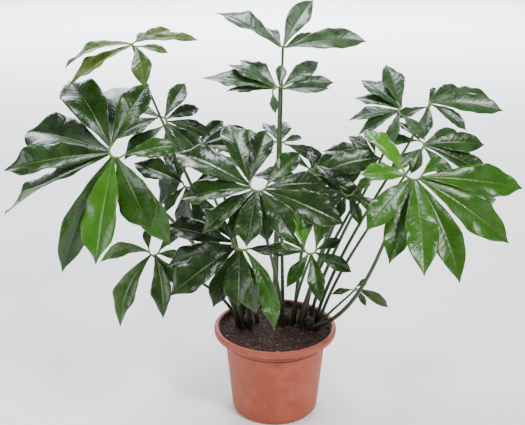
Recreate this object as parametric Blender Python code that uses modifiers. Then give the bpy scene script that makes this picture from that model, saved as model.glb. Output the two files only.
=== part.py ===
"""Potted philodendron: a moulded pot, its soil, three short crowns and the fronds that rise from them.

Metres, +Z up. The origin is the middle of the pot's foot, on the floor, and the front is towards -Y.
Each frond is one node: a stalk out of the soil, a horseshoe rachis at its end, and leaflets round that.
Run with: blender --background --python part.py
"""
import math
from collections import namedtuple

import bmesh
import bpy
from mathutils import Matrix, Vector
from mathutils.bvhtree import BVHTree

MM = 0.001
GAP = 0.3 * MM

# Pot: a 24 cm plastic container, from its lip down to its foot
POT_HEIGHT = 0.178
LIP_RADIUS = 0.120
LIP_HEIGHT = 0.0135
MOUTH_RADIUS = 0.1095
LEDGE_INNER = 0.1625
LEDGE_OUTER = 0.1675
LIP_SKIRT_INSET = 0.001
BAND_TOP = 0.1605
BAND_BOTTOM = 0.1575
BAND_PROUD = 0.0016
BAND_UNDERCUT = 0.001
BODY_TOP_RADIUS = 0.0992
BODY_FOOT_RADIUS = 0.0855
FOOT_ROUND = 0.009
WALL = 0.0022
FLOOR_THICKNESS = 0.003
POT_SIDES = 30
DRAIN_HOLES = 6
DRAIN_RADIUS = 0.0045
DRAIN_INSET = 0.004
DRAIN_REACH = (-0.012, 0.014)
DRAIN_SLOPE = -45.0
DRAIN_SIDES = 4
DRAIN_FIRST_BEARING = -36.0

# Soil: it fills the pot, and rises a little towards the stems
SOIL_EDGE = 0.169
SOIL_CENTRE = 0.1745
SOIL_SIDES = 20

# Crowns: the plants' own short stems, with the stalks standing round them
CROWNS = {"left": (-0.055, 0.012), "centre": (0.018, 0.020), "right": (0.067, 0.004)}
CROWN_RADIUS = 0.012
CROWN_TOP = 0.192
CROWN_SIDES = 10
ROOTED_DEPTH = 0.150
STALK_RING = 0.0205
STALK_STRAIGHT_TOP = 0.179
HOLE_LENGTH = 0.05

# Stalks: each rises before it leans over to its rachis, and a few rise more or less than the others
STALK_FOOT_RADIUS = 0.0046
STALK_TIP_RADIUS = 0.0029
STALK_SEGMENTS = 6
STALK_RESOLUTION = 1
STALK_SIDES = 6
UPWARD_PUSH = 0.9
LEANING = {
    "frond_right_front": -0.62,
    "frond_low_right": 0.2,
    "frond_left_front": 1.6,
    "frond_low_left": 1.6,
}

# Rachis: an open horseshoe, in which the leaflets' roots stand closer than their bearings would put them
FULL_ARM = 0.018
RACHIS_RADIUS = 0.0027
RACHIS_END_RADIUS = 0.0021
RACHIS_STEP = 40.0
RACHIS_SPREAD = 0.62
RACHIS_RESOLUTION = 0

# Leaflets: half width along the blade as (share of the length from the root, share of the widest)
FINE_OUTLINE = ((0.0, 0.05), (0.13, 0.24), (0.33, 0.66), (0.57, 1.0), (0.78, 0.84), (0.92, 0.24), (1.0, 0.0))
PLAIN_OUTLINE = ((0.0, 0.05), (0.31, 0.62), (0.59, 1.0), (0.86, 0.52), (1.0, 0.0))
BLADE_THICKNESS = 1.0 * MM
BLADE_FOLD = 14.0
BLADE_WAVE = 0.055
ROOT_SUNK = 1.2 * MM
TWIST_LENGTH = 0.35

# Room round the leaflets: how thick each is taken to be beside other fronds and beside its own frond's,
# where that begins along the blade, and the lifts tried in turn until a leaflet crosses nothing
GUARD_THICKNESS = 4.5 * MM
KIN_GUARD_THICKNESS = 2.4 * MM
KIN_START = 0.25
STALK_GUARD = 2.0 * MM
LIFTS = (0, 6, -6, 12, -12, 18, -18, 24, -24, 30, -30, 38, -38, 46, -46)

# The front view in which the leaflets' bearings are given: level with the top fronds, looking down
VIEW_PITCH = 19.5
VIEW_RIGHT = Vector((1.0, 0.0, 0.0))
VIEW_FORWARD = Vector((0.0, math.cos(math.radians(VIEW_PITCH)), -math.sin(math.radians(VIEW_PITCH))))
VIEW_UP = VIEW_RIGHT.cross(VIEW_FORWARD)

# A leaflet: its bearing in the front view (clockwise from up), its reach in mm from the middle of the
# rachis to its tip, then in degrees its lift out of the frond's plane, bend back, sideways sweep and twist,
# and its width as a share of its length
Leaflet = namedtuple("Leaflet", "bearing reach lift bend sweep twist width")
# A frond: its crown, its place round the crown, the middle of its rachis, the way it faces (degrees right
# of the front, degrees up), the bearing of its middle leaflet, the rachis's radius and its leaflets
Frond = namedtuple("Frond", "name crown place hub faces axis arm outline leaflets")


def leaf(bearing, reach, lift=0, bend=28, sweep=0, twist=14, width=0.36):
    """One leaflet's numbers, with the usual bend and width."""
    return Leaflet(bearing, reach * MM, lift, bend, sweep, twist, width)


FRONDS = (
    Frond("frond_left_front", "left", 215, (-0.265, -0.140, 0.571), (-10, 42), 228, 0.015, FINE_OUTLINE, (
        leaf(330, 216, 0, 28, -14, width=0.37), leaf(289, 222, -4, width=0.42),
        leaf(260, 199, 14, width=0.36), leaf(254, 270, -10, 30, 0, 40, width=0.32),
        leaf(215, 232, -8, 30, -6, -48, width=0.24), leaf(189, 198, 4, 20, width=0.38),
        leaf(155, 152, width=0.46), leaf(78, 102, -4), leaf(17, 148, 4), leaf(352, 220, -16, 30),
        leaf(149, 184, -18, 20, width=0.30))),
    Frond("frond_right_front", "right", 290, (0.231, -0.120, 0.527), (12, 46), 192, 0.016, FINE_OUTLINE, (
        leaf(318, 116, 6, width=0.42), leaf(270, 92, 6, width=0.54), leaf(222, 142, 6),
        leaf(197, 170, width=0.31), leaf(180, 198, 4, width=0.30),
        leaf(149, 206, 0, 28, 12, width=0.27), leaf(120, 212, width=0.31),
        leaf(99, 226, -16, 28, -20, width=0.30), leaf(94, 212, 2, 20, width=0.29), leaf(60, 84, -4))),
    Frond("frond_middle_front", "centre", 262, (-0.032, -0.180, 0.524), (0, 50), 190, 0.014, FINE_OUTLINE, (
        leaf(337, 154, 4), leaf(296, 168, 4, width=0.44), leaf(265, 134, 2, width=0.46),
        leaf(235, 124, -4), leaf(191, 113, 6, width=0.46), leaf(144, 112, 4, width=0.44),
        leaf(109, 158), leaf(82, 124, 4), leaf(48, 104, 4), leaf(8, 118, -2), leaf(213, 106, -8),
        leaf(168, 100, -8))),
    Frond("frond_low_front", "left", 285, (-0.057, -0.200, 0.434), (-6, 42), 215, 0.018, FINE_OUTLINE, (
        leaf(284, 152), leaf(257, 144, -4), leaf(232, 152, 4, width=0.46), leaf(208, 124, -6),
        leaf(184, 115, 6, width=0.52), leaf(140, 161, -2, 12, 42, 20, width=0.22), leaf(310, 101, 2),
        leaf(170, 128, -8, width=0.34), leaf(106, 60))),
    Frond("frond_crest", "centre", 140, (0.011, 0.060, 0.705), (0, 60), 10, 0.011, PLAIN_OUTLINE, (
        leaf(300, 162, 24, 40), leaf(334, 86, 6), leaf(27, 134, 20, 14, 14), leaf(84, 160, 16, 30),
        leaf(58, 96, 2))),
    Frond("frond_upper_middle", "centre", 182, (0.005, 0.000, 0.640), (0, 56), 5, 0.012, PLAIN_OUTLINE, (
        leaf(275, 98, 4, 20), leaf(281, 144, 10, 20), leaf(296, 110, 10, 18), leaf(320, 132, -2, 18),
        leaf(6, 72, 8, 18), leaf(48, 112, 4, 14), leaf(78, 104, 8, 20), leaf(92, 90, 10, 16),
        leaf(190, 46))),
    Frond("frond_left_top", "left", 148, (-0.241, -0.020, 0.728), (-12, 66), 262, 0.009, PLAIN_OUTLINE, (
        leaf(268, 152, 8, 52), leaf(248, 146, -4, 26, width=0.42),
        leaf(154, 98, -8, 24, 16, width=0.40), leaf(79, 108, 6, width=0.24), leaf(50, 81, 4),
        leaf(98, 58), leaf(16, 54))),
    Frond("frond_right_top", "right", 80, (0.241, 0.050, 0.594), (-14, 54), 290, 0.012, PLAIN_OUTLINE, (
        leaf(344, 118, 14, 16, width=0.42), leaf(314, 126, 10), leaf(296, 116, 8), leaf(267, 110, 4),
        leaf(250, 100), leaf(150, 74, 4), leaf(212, 80, -4))),
    Frond("frond_right_far", "right", 44, (0.288, 0.110, 0.596), (14, 60), 82, 0.012, PLAIN_OUTLINE, (
        leaf(62, 108, 8), leaf(81, 162, 10, 36), leaf(96, 156, 12, 22), leaf(113, 98, -4),
        leaf(40, 66, 6), leaf(246, 82, 4), leaf(188, 84, -4))),
    Frond("frond_right_middle", "right", 10, (0.267, 0.030, 0.534), (14, 52), 92, 0.010, PLAIN_OUTLINE, (
        leaf(70, 104, 6), leaf(87, 138, 4), leaf(105, 164, 4, width=0.30), leaf(282, 66, width=0.50),
        leaf(132, 108, -6), leaf(330, 78), leaf(232, 86), leaf(200, 62, width=0.46))),
    Frond("frond_right_inner", "right", 152, (0.202, 0.080, 0.500), (-18, 46), 262, 0.013, PLAIN_OUTLINE, (
        leaf(308, 86, 6), leaf(280, 122, 4), leaf(260, 132, 2), leaf(238, 142), leaf(345, 84))),
    Frond("frond_low_middle", "centre", 318, (0.060, -0.100, 0.379), (6, 44), 168, 0.011, PLAIN_OUTLINE, (
        leaf(169, 99, 2), leaf(115, 88), leaf(72, 64, 4), leaf(22, 78, 4, width=0.44),
        leaf(346, 88, 2, width=0.54), leaf(266, 92), leaf(214, 84), leaf(304, 84))),
    Frond("frond_low_left", "left", 180, (-0.225, -0.050, 0.355), (-12, 36), 192, 0.010, PLAIN_OUTLINE, (
        leaf(286, 112, 4, 20, -60, 14, 0.30), leaf(223, 158, 2, 26, -36, width=0.32),
        leaf(158, 130, 4, 14, 26, width=0.34), leaf(143, 82), leaf(96, 58), leaf(335, 52),
        leaf(44, 72))),
    Frond("frond_low_right", "right", 326, (0.149, -0.010, 0.263), (24, 50), 130, 0.007, PLAIN_OUTLINE, (
        leaf(114, 85, 2, width=0.30), leaf(140, 46), leaf(258, 46), leaf(66, 44))),
    Frond("frond_left_back", "left", 112, (-0.219, 0.080, 0.566), (10, 52), 62, 0.012, PLAIN_OUTLINE, (
        leaf(26, 114, 12), leaf(58, 98, 4), leaf(95, 104, -4), leaf(124, 126), leaf(158, 122),
        leaf(300, 104, width=0.44), leaf(257, 116, width=0.44), leaf(226, 104, width=0.44),
        leaf(243, 96, width=0.50))),
    Frond("frond_left_inner", "left", 20, (-0.150, 0.120, 0.500), (-8, 52), 300, 0.013, PLAIN_OUTLINE, (
        leaf(62, 116, 4), leaf(88, 148), leaf(350, 74, 4), leaf(310, 120), leaf(272, 142),
        leaf(232, 150, width=0.42), leaf(30, 102))),
    Frond("frond_left_hanging", "left", 248, (-0.160, -0.010, 0.475), (-20, 44), 215, 0.012, PLAIN_OUTLINE, (
        leaf(287, 122, width=0.44), leaf(224, 80), leaf(200, 118, -2, 20, width=0.44),
        leaf(150, 130, width=0.40), leaf(62, 84))),
    Frond("frond_middle_right", "centre", 8, (0.060, 0.020, 0.480), (14, 52), 100, 0.014, PLAIN_OUTLINE, (
        leaf(80, 150, 2, width=0.40), leaf(108, 122, width=0.40), leaf(148, 86), leaf(180, 122),
        leaf(50, 86, 2, width=0.40), leaf(8, 66, 2), leaf(314, 78, width=0.44),
        leaf(272, 104, width=0.44))),
    Frond("frond_right_low_inner", "right", 210, (0.130, -0.030, 0.465), (8, 50), 200, 0.012, PLAIN_OUTLINE, (
        leaf(232, 112), leaf(202, 66), leaf(158, 72), leaf(118, 84), leaf(272, 116), leaf(318, 86),
        leaf(58, 64))),
    Frond("frond_middle_back", "centre", 96, (0.010, 0.190, 0.490), (4, 62), 20, 0.013, PLAIN_OUTLINE, (
        leaf(16, 88, 6), leaf(62, 64, 2), leaf(104, 110), leaf(332, 94, 4), leaf(288, 130),
        leaf(236, 104, width=0.44))),
    Frond("frond_back_left", "left", 78, (-0.130, 0.270, 0.440), (200, 48), 0, 0.015, PLAIN_OUTLINE, (
        leaf(0, 146), leaf(48, 138), leaf(96, 124), leaf(265, 132))),
    Frond("frond_back_right", "right", 114, (0.170, 0.270, 0.430), (160, 48), 0, 0.015, PLAIN_OUTLINE, (
        leaf(0, 146), leaf(48, 138), leaf(96, 124), leaf(312, 104), leaf(265, 132))),
)

TERRACOTTA = (0.456, 0.150, 0.095)
PEAT = (0.024, 0.016, 0.012)
CROWN_BROWN = (0.060, 0.052, 0.024)
LEAF_GREEN = (0.027, 0.110, 0.020)


def clear_scene():
    """Remove whatever objects the file opened with."""
    for item in list(bpy.data.objects):
        bpy.data.objects.remove(item, do_unlink=True)


def collection(name):
    """A new collection in the scene."""
    made = bpy.data.collections.new(name)
    bpy.context.scene.collection.children.link(made)
    return made


def material(name, colour, roughness):
    """A plain Principled material."""
    made = bpy.data.materials.new(name)
    made.use_nodes = True
    shader = made.node_tree.nodes["Principled BSDF"]
    shader.inputs["Base Color"].default_value = (*colour, 1.0)
    shader.inputs["Roughness"].default_value = roughness
    shader.inputs["Metallic"].default_value = 0.0
    return made


def object_from(bm, name, group):
    """A mesh object made from a bmesh, which is freed."""
    mesh = bpy.data.meshes.new(name)
    bm.to_mesh(mesh)
    bm.free()
    made = bpy.data.objects.new(name, mesh)
    group.objects.link(made)
    return made


def frozen(item):
    """The mesh of an object as its modifiers leave it."""
    bpy.context.view_layer.update()
    graph = bpy.context.evaluated_depsgraph_get()
    return bpy.data.meshes.new_from_object(item.evaluated_get(graph))


def discard(items):
    """Remove objects that have been fused into another."""
    for item in list(items):
        bpy.data.objects.remove(item, do_unlink=True)


def turned(name, profile, sides, group):
    """A closed solid turned from a profile of (radius, height), which runs down its outer side."""
    bm = bmesh.new()
    row = [bm.verts.new((radius, 0.0, height)) for radius, height in profile]
    for first, second in zip(row, row[1:]):
        bm.edges.new((first, second))
    made = object_from(bm, name, group)
    screw = made.modifiers.new("turn", "SCREW")
    screw.steps = sides
    screw.render_steps = sides
    screw.use_merge_vertices = True
    screw.merge_threshold = 0.00001
    made.data = frozen(made)
    made.modifiers.clear()
    return made


def cut(target, cutters):
    """Take the objects of a collection away from a solid."""
    tool = target.modifiers.new("cut", "BOOLEAN")
    tool.operation = "DIFFERENCE"
    tool.operand_type = "COLLECTION"
    tool.collection = cutters
    tool.solver = "EXACT"
    target.data = frozen(target)
    target.modifiers.clear()
    discard(cutters.objects)


def rod(name, radius, low, high, sides, group):
    """An upright closed cylinder between two points on one vertical line."""
    bm = bmesh.new()
    depth = high.z - low.z
    bmesh.ops.create_cone(bm, cap_ends=True, segments=sides, radius1=radius, radius2=radius, depth=depth)
    bmesh.ops.translate(bm, verts=bm.verts, vec=(low + high) / 2)
    return object_from(bm, name, group)


def quarter(centre, radius, first, last, steps):
    """Points on an arc in the profile's plane, between two angles in degrees from +X."""
    angles = [math.radians(first + (last - first) * step / steps) for step in range(steps + 1)]
    return [(centre[0] + radius * math.cos(a), centre[1] + radius * math.sin(a)) for a in angles]


def pot_profile():
    """The pot's wall in section: up the inside, over the rolled lip, down the outside, in under the foot."""
    lip_round = (LIP_RADIUS - MOUTH_RADIUS) / 2
    lip_middle = (MOUTH_RADIUS + lip_round, POT_HEIGHT - lip_round)
    inner_foot = BODY_FOOT_RADIUS - WALL
    band_radius = BODY_TOP_RADIUS + BAND_PROUD
    inside = [
        (0.0, FLOOR_THICKNESS),
        (inner_foot - FOOT_ROUND, FLOOR_THICKNESS),
        (inner_foot, FOOT_ROUND + FLOOR_THICKNESS),
        (BODY_TOP_RADIUS - WALL, LEDGE_INNER),
        (MOUTH_RADIUS, LEDGE_OUTER),
    ]
    lip = quarter(lip_middle, lip_round, 180, 0, 4)
    outside = [
        (LIP_RADIUS - LIP_SKIRT_INSET, POT_HEIGHT - LIP_HEIGHT),
        (band_radius, BAND_TOP),
        (band_radius, BAND_BOTTOM),
        (BODY_TOP_RADIUS, BAND_BOTTOM - BAND_UNDERCUT),
    ]
    rounded = quarter((BODY_FOOT_RADIUS - FOOT_ROUND, FOOT_ROUND), FOOT_ROUND, 0, -90, 2)
    return inside + lip + outside + rounded + [(0.0, 0.0)]


def make_pot(group, cutters):
    """The pot, with its drain holes through the rounded lower edge."""
    pot = turned("pot", pot_profile(), POT_SIDES, group)
    low, high = (Vector((0.0, 0.0, end)) for end in DRAIN_REACH)
    corner = Matrix.Translation((0.0, DRAIN_INSET - BODY_FOOT_RADIUS, DRAIN_INSET))
    slope = Matrix.Rotation(math.radians(DRAIN_SLOPE), 4, "X")
    for index in range(DRAIN_HOLES):
        drill = rod("drill", DRAIN_RADIUS, low, high, DRAIN_SIDES, cutters)
        bearing = math.radians(DRAIN_FIRST_BEARING + index * 360 / DRAIN_HOLES)
        drill.data.transform(Matrix.Rotation(bearing, 4, "Z") @ corner @ slope)
    cut(pot, cutters)
    return pot


def soil_profile():
    """The soil in section, clear of the flats of the pot's wall all the way down."""
    flats = math.cos(math.pi / POT_SIDES)
    floor = FLOOR_THICKNESS + GAP
    inner_foot = (BODY_FOOT_RADIUS - WALL) * flats - 2 * GAP
    mouth = MOUTH_RADIUS * flats - 2 * GAP
    crust = [(mouth * share, SOIL_EDGE + (SOIL_CENTRE - SOIL_EDGE) * math.cos(math.pi / 2 * share))
             for share in (0.0, 0.6, 1.0)]
    return crust + [
        (mouth, LEDGE_OUTER + GAP),
        ((BODY_TOP_RADIUS - WALL) * flats - 2 * GAP, LEDGE_INNER + GAP),
        (inner_foot, FOOT_ROUND + FLOOR_THICKNESS + GAP),
        (inner_foot - FOOT_ROUND - GAP, floor),
        (0.0, floor),
    ]


def bore_soil(foot, radius, sides, cutters):
    """A plain upright hole, whose flats clear a stem of this radius that stands in it."""
    low = Vector((foot[0], foot[1], ROOTED_DEPTH - GAP))
    clear = (radius + GAP) / math.cos(math.pi / sides)
    rod("hole", clear, low, low + Vector((0, 0, HOLE_LENGTH)), sides, cutters)


def make_soil(group, cutters):
    """The soil, with a plain hole for each crown and stalk that stands in it."""
    soil = turned("soil", soil_profile(), SOIL_SIDES, group)
    for place in CROWNS.values():
        bore_soil(place, CROWN_RADIUS, CROWN_SIDES, cutters)
    for frond in FRONDS:
        bore_soil(stalk_foot(frond), STALK_FOOT_RADIUS * stoutness(frond), STALK_SIDES, cutters)
    cut(soil, cutters)
    return soil


def make_crown(side, group):
    """A crown's blunt stem, up out of the soil."""
    radius = CROWN_RADIUS
    profile = [
        (0.0, CROWN_TOP),
        (radius * 0.55, CROWN_TOP - 3 * MM),
        (radius * 0.9, CROWN_TOP - 10 * MM),
        (radius, SOIL_CENTRE),
        (radius, ROOTED_DEPTH),
        (0.0, ROOTED_DEPTH),
    ]
    crown = turned("crown_" + side, profile, CROWN_SIDES, group)
    crown.data.transform(Matrix.Translation((*CROWNS[side], 0.0)))
    return crown


def tube(name, points, radii, resolution, group):
    """A closed round tube through the points, as a mesh."""
    curve = bpy.data.curves.new(name, "CURVE")
    curve.dimensions = "3D"
    curve.resolution_u = 1
    curve.render_resolution_u = 0
    curve.bevel_depth = 1.0
    curve.bevel_resolution = resolution
    curve.use_fill_caps = True
    spline = curve.splines.new("POLY")
    spline.points.add(len(points) - 1)
    for place, point, radius in zip(spline.points, points, radii):
        place.co = (*point, 1.0)
        place.radius = radius
    made = bpy.data.objects.new(name, curve)
    group.objects.link(made)
    bm = bmesh.new()
    bm.from_mesh(frozen(made))
    bmesh.ops.remove_doubles(bm, verts=bm.verts, dist=0.00001)
    bmesh.ops.recalc_face_normals(bm, faces=bm.faces)
    discard([made])
    return object_from(bm, name, group)


def facing(frond):
    """The direction that a frond's upper side faces."""
    turn, rise = (math.radians(angle) for angle in frond.faces)
    return Vector((math.sin(turn) * math.cos(rise), -math.cos(turn) * math.cos(rise), math.sin(rise)))


def in_plane(bearing, normal):
    """The direction in a frond's plane that has this bearing in the front view."""
    angle = math.radians(bearing)
    seen = VIEW_RIGHT * math.sin(angle) + VIEW_UP * math.cos(angle)
    depth = -seen.dot(normal) / VIEW_FORWARD.dot(normal)
    return (seen + VIEW_FORWARD * depth).normalized()


def stalk_foot(frond):
    """Where a frond's stalk enters the soil, on the ring round its crown."""
    angle = math.radians(frond.place)
    x, y = CROWNS[frond.crown]
    return Vector((x + STALK_RING * math.cos(angle), y + STALK_RING * math.sin(angle), ROOTED_DEPTH))


def stalk_points(frond):
    """The stalk's line: straight up out of the soil, then over to the front of the rachis."""
    normal = facing(frond)
    foot = stalk_foot(frond)
    start = Vector((foot.x, foot.y, STALK_STRAIGHT_TOP))
    end = Vector(frond.hub) + in_plane(frond.axis, normal) * frond.arm
    chord = end - start
    push = LEANING.get(frond.name, UPWARD_PUSH)
    leaving = (chord.normalized() + Vector((0, 0, push))).normalized() * chord.length * 0.36
    arriving = (chord.normalized() * 0.6 + normal * 0.8).normalized() * chord.length * 0.28
    line = [foot]
    for step in range(STALK_SEGMENTS):
        t = step / (STALK_SEGMENTS - 1)
        line.append((1 - t) ** 3 * start + 3 * (1 - t) ** 2 * t * (start + leaving)
                    + 3 * (1 - t) * t ** 2 * (end - arriving) + t ** 3 * end)
    return line


def stoutness(frond):
    """How stout a frond's stalk and rachis are, next to those of the largest fronds."""
    return math.sqrt(frond.arm / FULL_ARM)


def stalk_radii(frond, count, extra=0.0):
    """The stalk's radius at each of its points, thinner towards the rachis."""
    girth = stoutness(frond)
    drop = STALK_FOOT_RADIUS - STALK_TIP_RADIUS
    shares = [max(0, step - 1) / (count - 2) for step in range(count)]
    return [(STALK_FOOT_RADIUS - drop * share) * girth + extra for share in shares]


def rooted_at(frond, out):
    """Where on the rachis a leaflet that points this way is rooted: its arc turns less than they do."""
    normal = facing(frond)
    axis = in_plane(frond.axis, normal)
    side = normal.cross(axis)
    turn = math.atan2(out.dot(side), out.dot(axis)) * RACHIS_SPREAD
    return Vector(frond.hub) + (axis * math.cos(turn) + side * math.sin(turn)) * frond.arm


def rachis_points(frond):
    """The horseshoe that carries the leaflets: an arc from the last on one side to the last on the other."""
    normal = facing(frond)
    axis = in_plane(frond.axis, normal)
    side = normal.cross(axis)
    turns = []
    for one in frond.leaflets:
        out = in_plane(one.bearing, normal)
        turns.append(math.degrees(math.atan2(out.dot(side), out.dot(axis))) * RACHIS_SPREAD)
    first, last = min(turns) - 2, max(turns) + 2
    steps = max(3, round((last - first) / RACHIS_STEP))
    points = []
    for step in range(steps + 1):
        turn = math.radians(first + (last - first) * step / steps)
        points.append(Vector(frond.hub) + (axis * math.cos(turn) + side * math.sin(turn)) * frond.arm)
    return points


def blade_grid(outline):
    """A flat grid, three points across, one row for each point of the outline."""
    bm = bmesh.new()
    bmesh.ops.create_grid(bm, x_segments=2, y_segments=len(outline) - 1, size=1.0)
    return bm


def blade_shape(bm, frond, one, lift):
    """Bend a grid that spans -1 to 1 each way into a leaflet's middle surface."""
    normal = facing(frond)
    bearing = in_plane(one.bearing, normal)
    foot = rooted_at(frond, bearing)
    span = Vector(frond.hub) + bearing * one.reach - foot
    out = span.normalized()
    rise = math.radians(lift)
    along = out * math.cos(rise) + normal * math.sin(rise)
    up = normal * math.cos(rise) - out * math.sin(rise)
    across = along.cross(up)
    root = foot - out * ROOT_SUNK
    bend, sweep = math.radians(one.bend), math.radians(one.sweep)
    curl = max(math.hypot(bend, sweep), 0.001)
    towards = (up * -bend + across * sweep) / curl
    hinge = along.cross(towards)
    length = span.length + ROOT_SUNK
    fold = math.radians(BLADE_FOLD)
    last = len(frond.outline) - 1
    for vert in bm.verts:
        row = round((vert.co.y + 1) / 2 * last)
        share, wide = frond.outline[row]
        turned_by = Matrix.Rotation(curl * share, 3, hinge)
        path = along * math.sin(curl * share) + towards * (1 - math.cos(curl * share))
        twist = math.radians(one.twist) * min(1.0, share / TWIST_LENGTH)
        roll = Matrix.Rotation(twist, 3, turned_by @ along)
        half = length * one.width / 2 * wide
        wave = BLADE_WAVE * length * wide * (-1) ** row * (1 if 1 < row < last else 0) / 2
        raised = (half * math.sin(fold) + wave * vert.co.x) * abs(vert.co.x)
        edge = across * vert.co.x * half * math.cos(fold) + up * raised
        vert.co = root + path * (length / curl) + roll @ turned_by @ edge
    bmesh.ops.remove_doubles(bm, verts=bm.verts, dist=0.00005)
    bmesh.ops.triangulate(bm, faces=bm.faces)
    bmesh.ops.recalc_face_normals(bm, faces=bm.faces)


def thicken(bm, thickness):
    """Turn a surface into a closed shell with the surface in its middle."""
    bm.normal_update()
    shift = [(vert, vert.normal * (thickness / 2)) for vert in bm.verts]
    for vert, move in shift:
        vert.co += move
    bmesh.ops.solidify(bm, geom=bm.faces[:], thickness=thickness)
    bmesh.ops.recalc_face_normals(bm, faces=bm.faces)


def blade(frond, one, lift, thickness, start=0.0):
    """A leaflet as a closed thin solid, whole or without the part nearer the root than start."""
    bm = blade_grid(frond.outline)
    last = len(frond.outline) - 1
    rooted = [vert for vert in bm.verts if frond.outline[round((vert.co.y + 1) / 2 * last)][0] < start]
    bmesh.ops.delete(bm, geom=rooted, context="VERTS")
    blade_shape(bm, frond, one, lift)
    thicken(bm, thickness)
    return bm


def tree_of(item):
    """A search tree over an object's faces."""
    bm = bmesh.new()
    bm.from_mesh(item.data)
    tree = BVHTree.FromBMesh(bm)
    bm.free()
    return tree


def guard_tree(frond, one, lift, thickness, start):
    """A search tree over a leaflet of some other thickness."""
    bm = blade(frond, one, lift, thickness, start)
    tree = BVHTree.FromBMesh(bm)
    bm.free()
    return tree


def clear_lift(frond, one, placed, kin):
    """The smallest lift at which a leaflet crosses neither its own frond's leaflets nor anything else."""
    for extra in LIFTS:
        lift = one.lift + extra
        slim = guard_tree(frond, one, lift, KIN_GUARD_THICKNESS, KIN_START)
        if any(slim.overlap(other) for other in kin):
            continue
        stout = guard_tree(frond, one, lift, GUARD_THICKNESS, 0.0)
        if not any(stout.overlap(other) for other in placed):
            return lift, slim, stout
    raise ValueError(f"{frond.name} has no room for its leaflet at {one.bearing} degrees")


def stalk_guard(frond, group):
    """A search tree over a stalk that is a little stouter than the real one."""
    points = stalk_points(frond)
    stout = tube("guard", points, stalk_radii(frond, len(points), STALK_GUARD), STALK_RESOLUTION, group)
    tree = tree_of(stout)
    discard([stout])
    return tree


def make_frond(frond, group, pieces, placed):
    """One frond: its stalk, with the rachis and the leaflets fused to it."""
    points = stalk_points(frond)
    stalk = tube(frond.name, points, stalk_radii(frond, len(points)), STALK_RESOLUTION, group)
    arc = rachis_points(frond)
    middle = (len(arc) - 1) / 2
    thin = RACHIS_RADIUS - RACHIS_END_RADIUS
    girth = stoutness(frond)
    radii = [(RACHIS_RADIUS - thin * abs(step - middle) / middle) * girth for step in range(len(arc))]
    tube("rachis", arc, radii, RACHIS_RESOLUTION, pieces)
    strangers = [other for owner, other in placed if owner != frond.name]
    kin = []
    for one in frond.leaflets:
        lift, slim, stout = clear_lift(frond, one, strangers, kin)
        object_from(blade(frond, one, lift, BLADE_THICKNESS), "leaflet", pieces)
        kin.append(slim)
        placed.append((frond.name, stout))
    union = stalk.modifiers.new("union", "BOOLEAN")
    union.operation = "UNION"
    union.operand_type = "COLLECTION"
    union.collection = pieces
    union.solver = "EXACT"
    stalk.data = frozen(stalk)
    stalk.modifiers.clear()
    discard(pieces.objects)
    return stalk


def main():
    """Build every node and give it its material."""
    clear_scene()
    group = collection("potted_philodendron")
    cutters = collection("cutters")
    pieces = collection("leaflets")
    pot = make_pot(group, cutters)
    crowns = [make_crown(side, group) for side in CROWNS]
    placed = [("pot", tree_of(pot))] + [("crown", tree_of(crown)) for crown in crowns]
    placed += [(frond.name, stalk_guard(frond, pieces)) for frond in FRONDS]
    fronds = [make_frond(frond, group, pieces, placed) for frond in FRONDS]
    soil = make_soil(group, cutters)
    pot.data.materials.append(material("terracotta_plastic", TERRACOTTA, 0.45))
    soil.data.materials.append(material("peat_soil", PEAT, 0.95))
    for crown in crowns:
        crown.data.materials.append(material(crown.name + "_bark", CROWN_BROWN, 0.8))
    for item in fronds:
        item.data.materials.append(material(item.name + "_green", LEAF_GREEN, 0.3))
    for item in [pot, soil, *crowns, *fronds]:
        item.data.shade_smooth()
        item.data.set_sharp_from_angle(angle=math.radians(35))


if __name__ == "__main__":
    main()
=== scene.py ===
"""Looks of a potted philodendron: its moulded pot, its soil and its leafy fronds, with the stage."""
import math
import random
from collections import namedtuple
from functools import partial

import bmesh
import bpy
from bpy.props import FloatProperty, FloatVectorProperty, IntProperty, PointerProperty
from mathutils import Matrix, Vector, noise
from mathutils.kdtree import KDTree


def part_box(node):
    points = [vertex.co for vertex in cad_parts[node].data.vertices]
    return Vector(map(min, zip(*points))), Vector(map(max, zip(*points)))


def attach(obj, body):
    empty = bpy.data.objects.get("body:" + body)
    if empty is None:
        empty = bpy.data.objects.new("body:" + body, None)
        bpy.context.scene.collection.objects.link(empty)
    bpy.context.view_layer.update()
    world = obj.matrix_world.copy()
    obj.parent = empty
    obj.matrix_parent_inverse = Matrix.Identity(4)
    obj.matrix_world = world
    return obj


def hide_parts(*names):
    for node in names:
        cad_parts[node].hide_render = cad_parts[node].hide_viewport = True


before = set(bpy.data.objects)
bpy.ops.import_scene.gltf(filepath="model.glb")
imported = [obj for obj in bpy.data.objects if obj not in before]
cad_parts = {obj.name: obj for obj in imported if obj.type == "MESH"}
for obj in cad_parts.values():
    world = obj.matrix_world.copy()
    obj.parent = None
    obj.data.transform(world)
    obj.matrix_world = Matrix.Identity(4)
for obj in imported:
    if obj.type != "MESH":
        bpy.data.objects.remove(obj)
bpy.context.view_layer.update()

bl_info = {
    "name": "Potted philodendron",
    "version": (1, 0, 0),
    "blender": (4, 5, 0),
    "location": "3D View > Sidebar > Philodendron",
    "description": "Builds the finished surfaces of a potted philodendron round its packed solids",
    "category": "Add Mesh",
}

MM = 0.001
SEED = 41
POT_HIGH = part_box("pot")[1]
SOIL_LOW, SOIL_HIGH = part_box("soil")

# The photograph's camera: its width and focal length in pixels, the eye's place and its tilt down in degrees
PHOTO_WIDTH = 525
FOCAL_PIXELS = 847.0
EYE = (-0.0249, -1.5, 0.943)
EYE_TILT = 19.53

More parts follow.
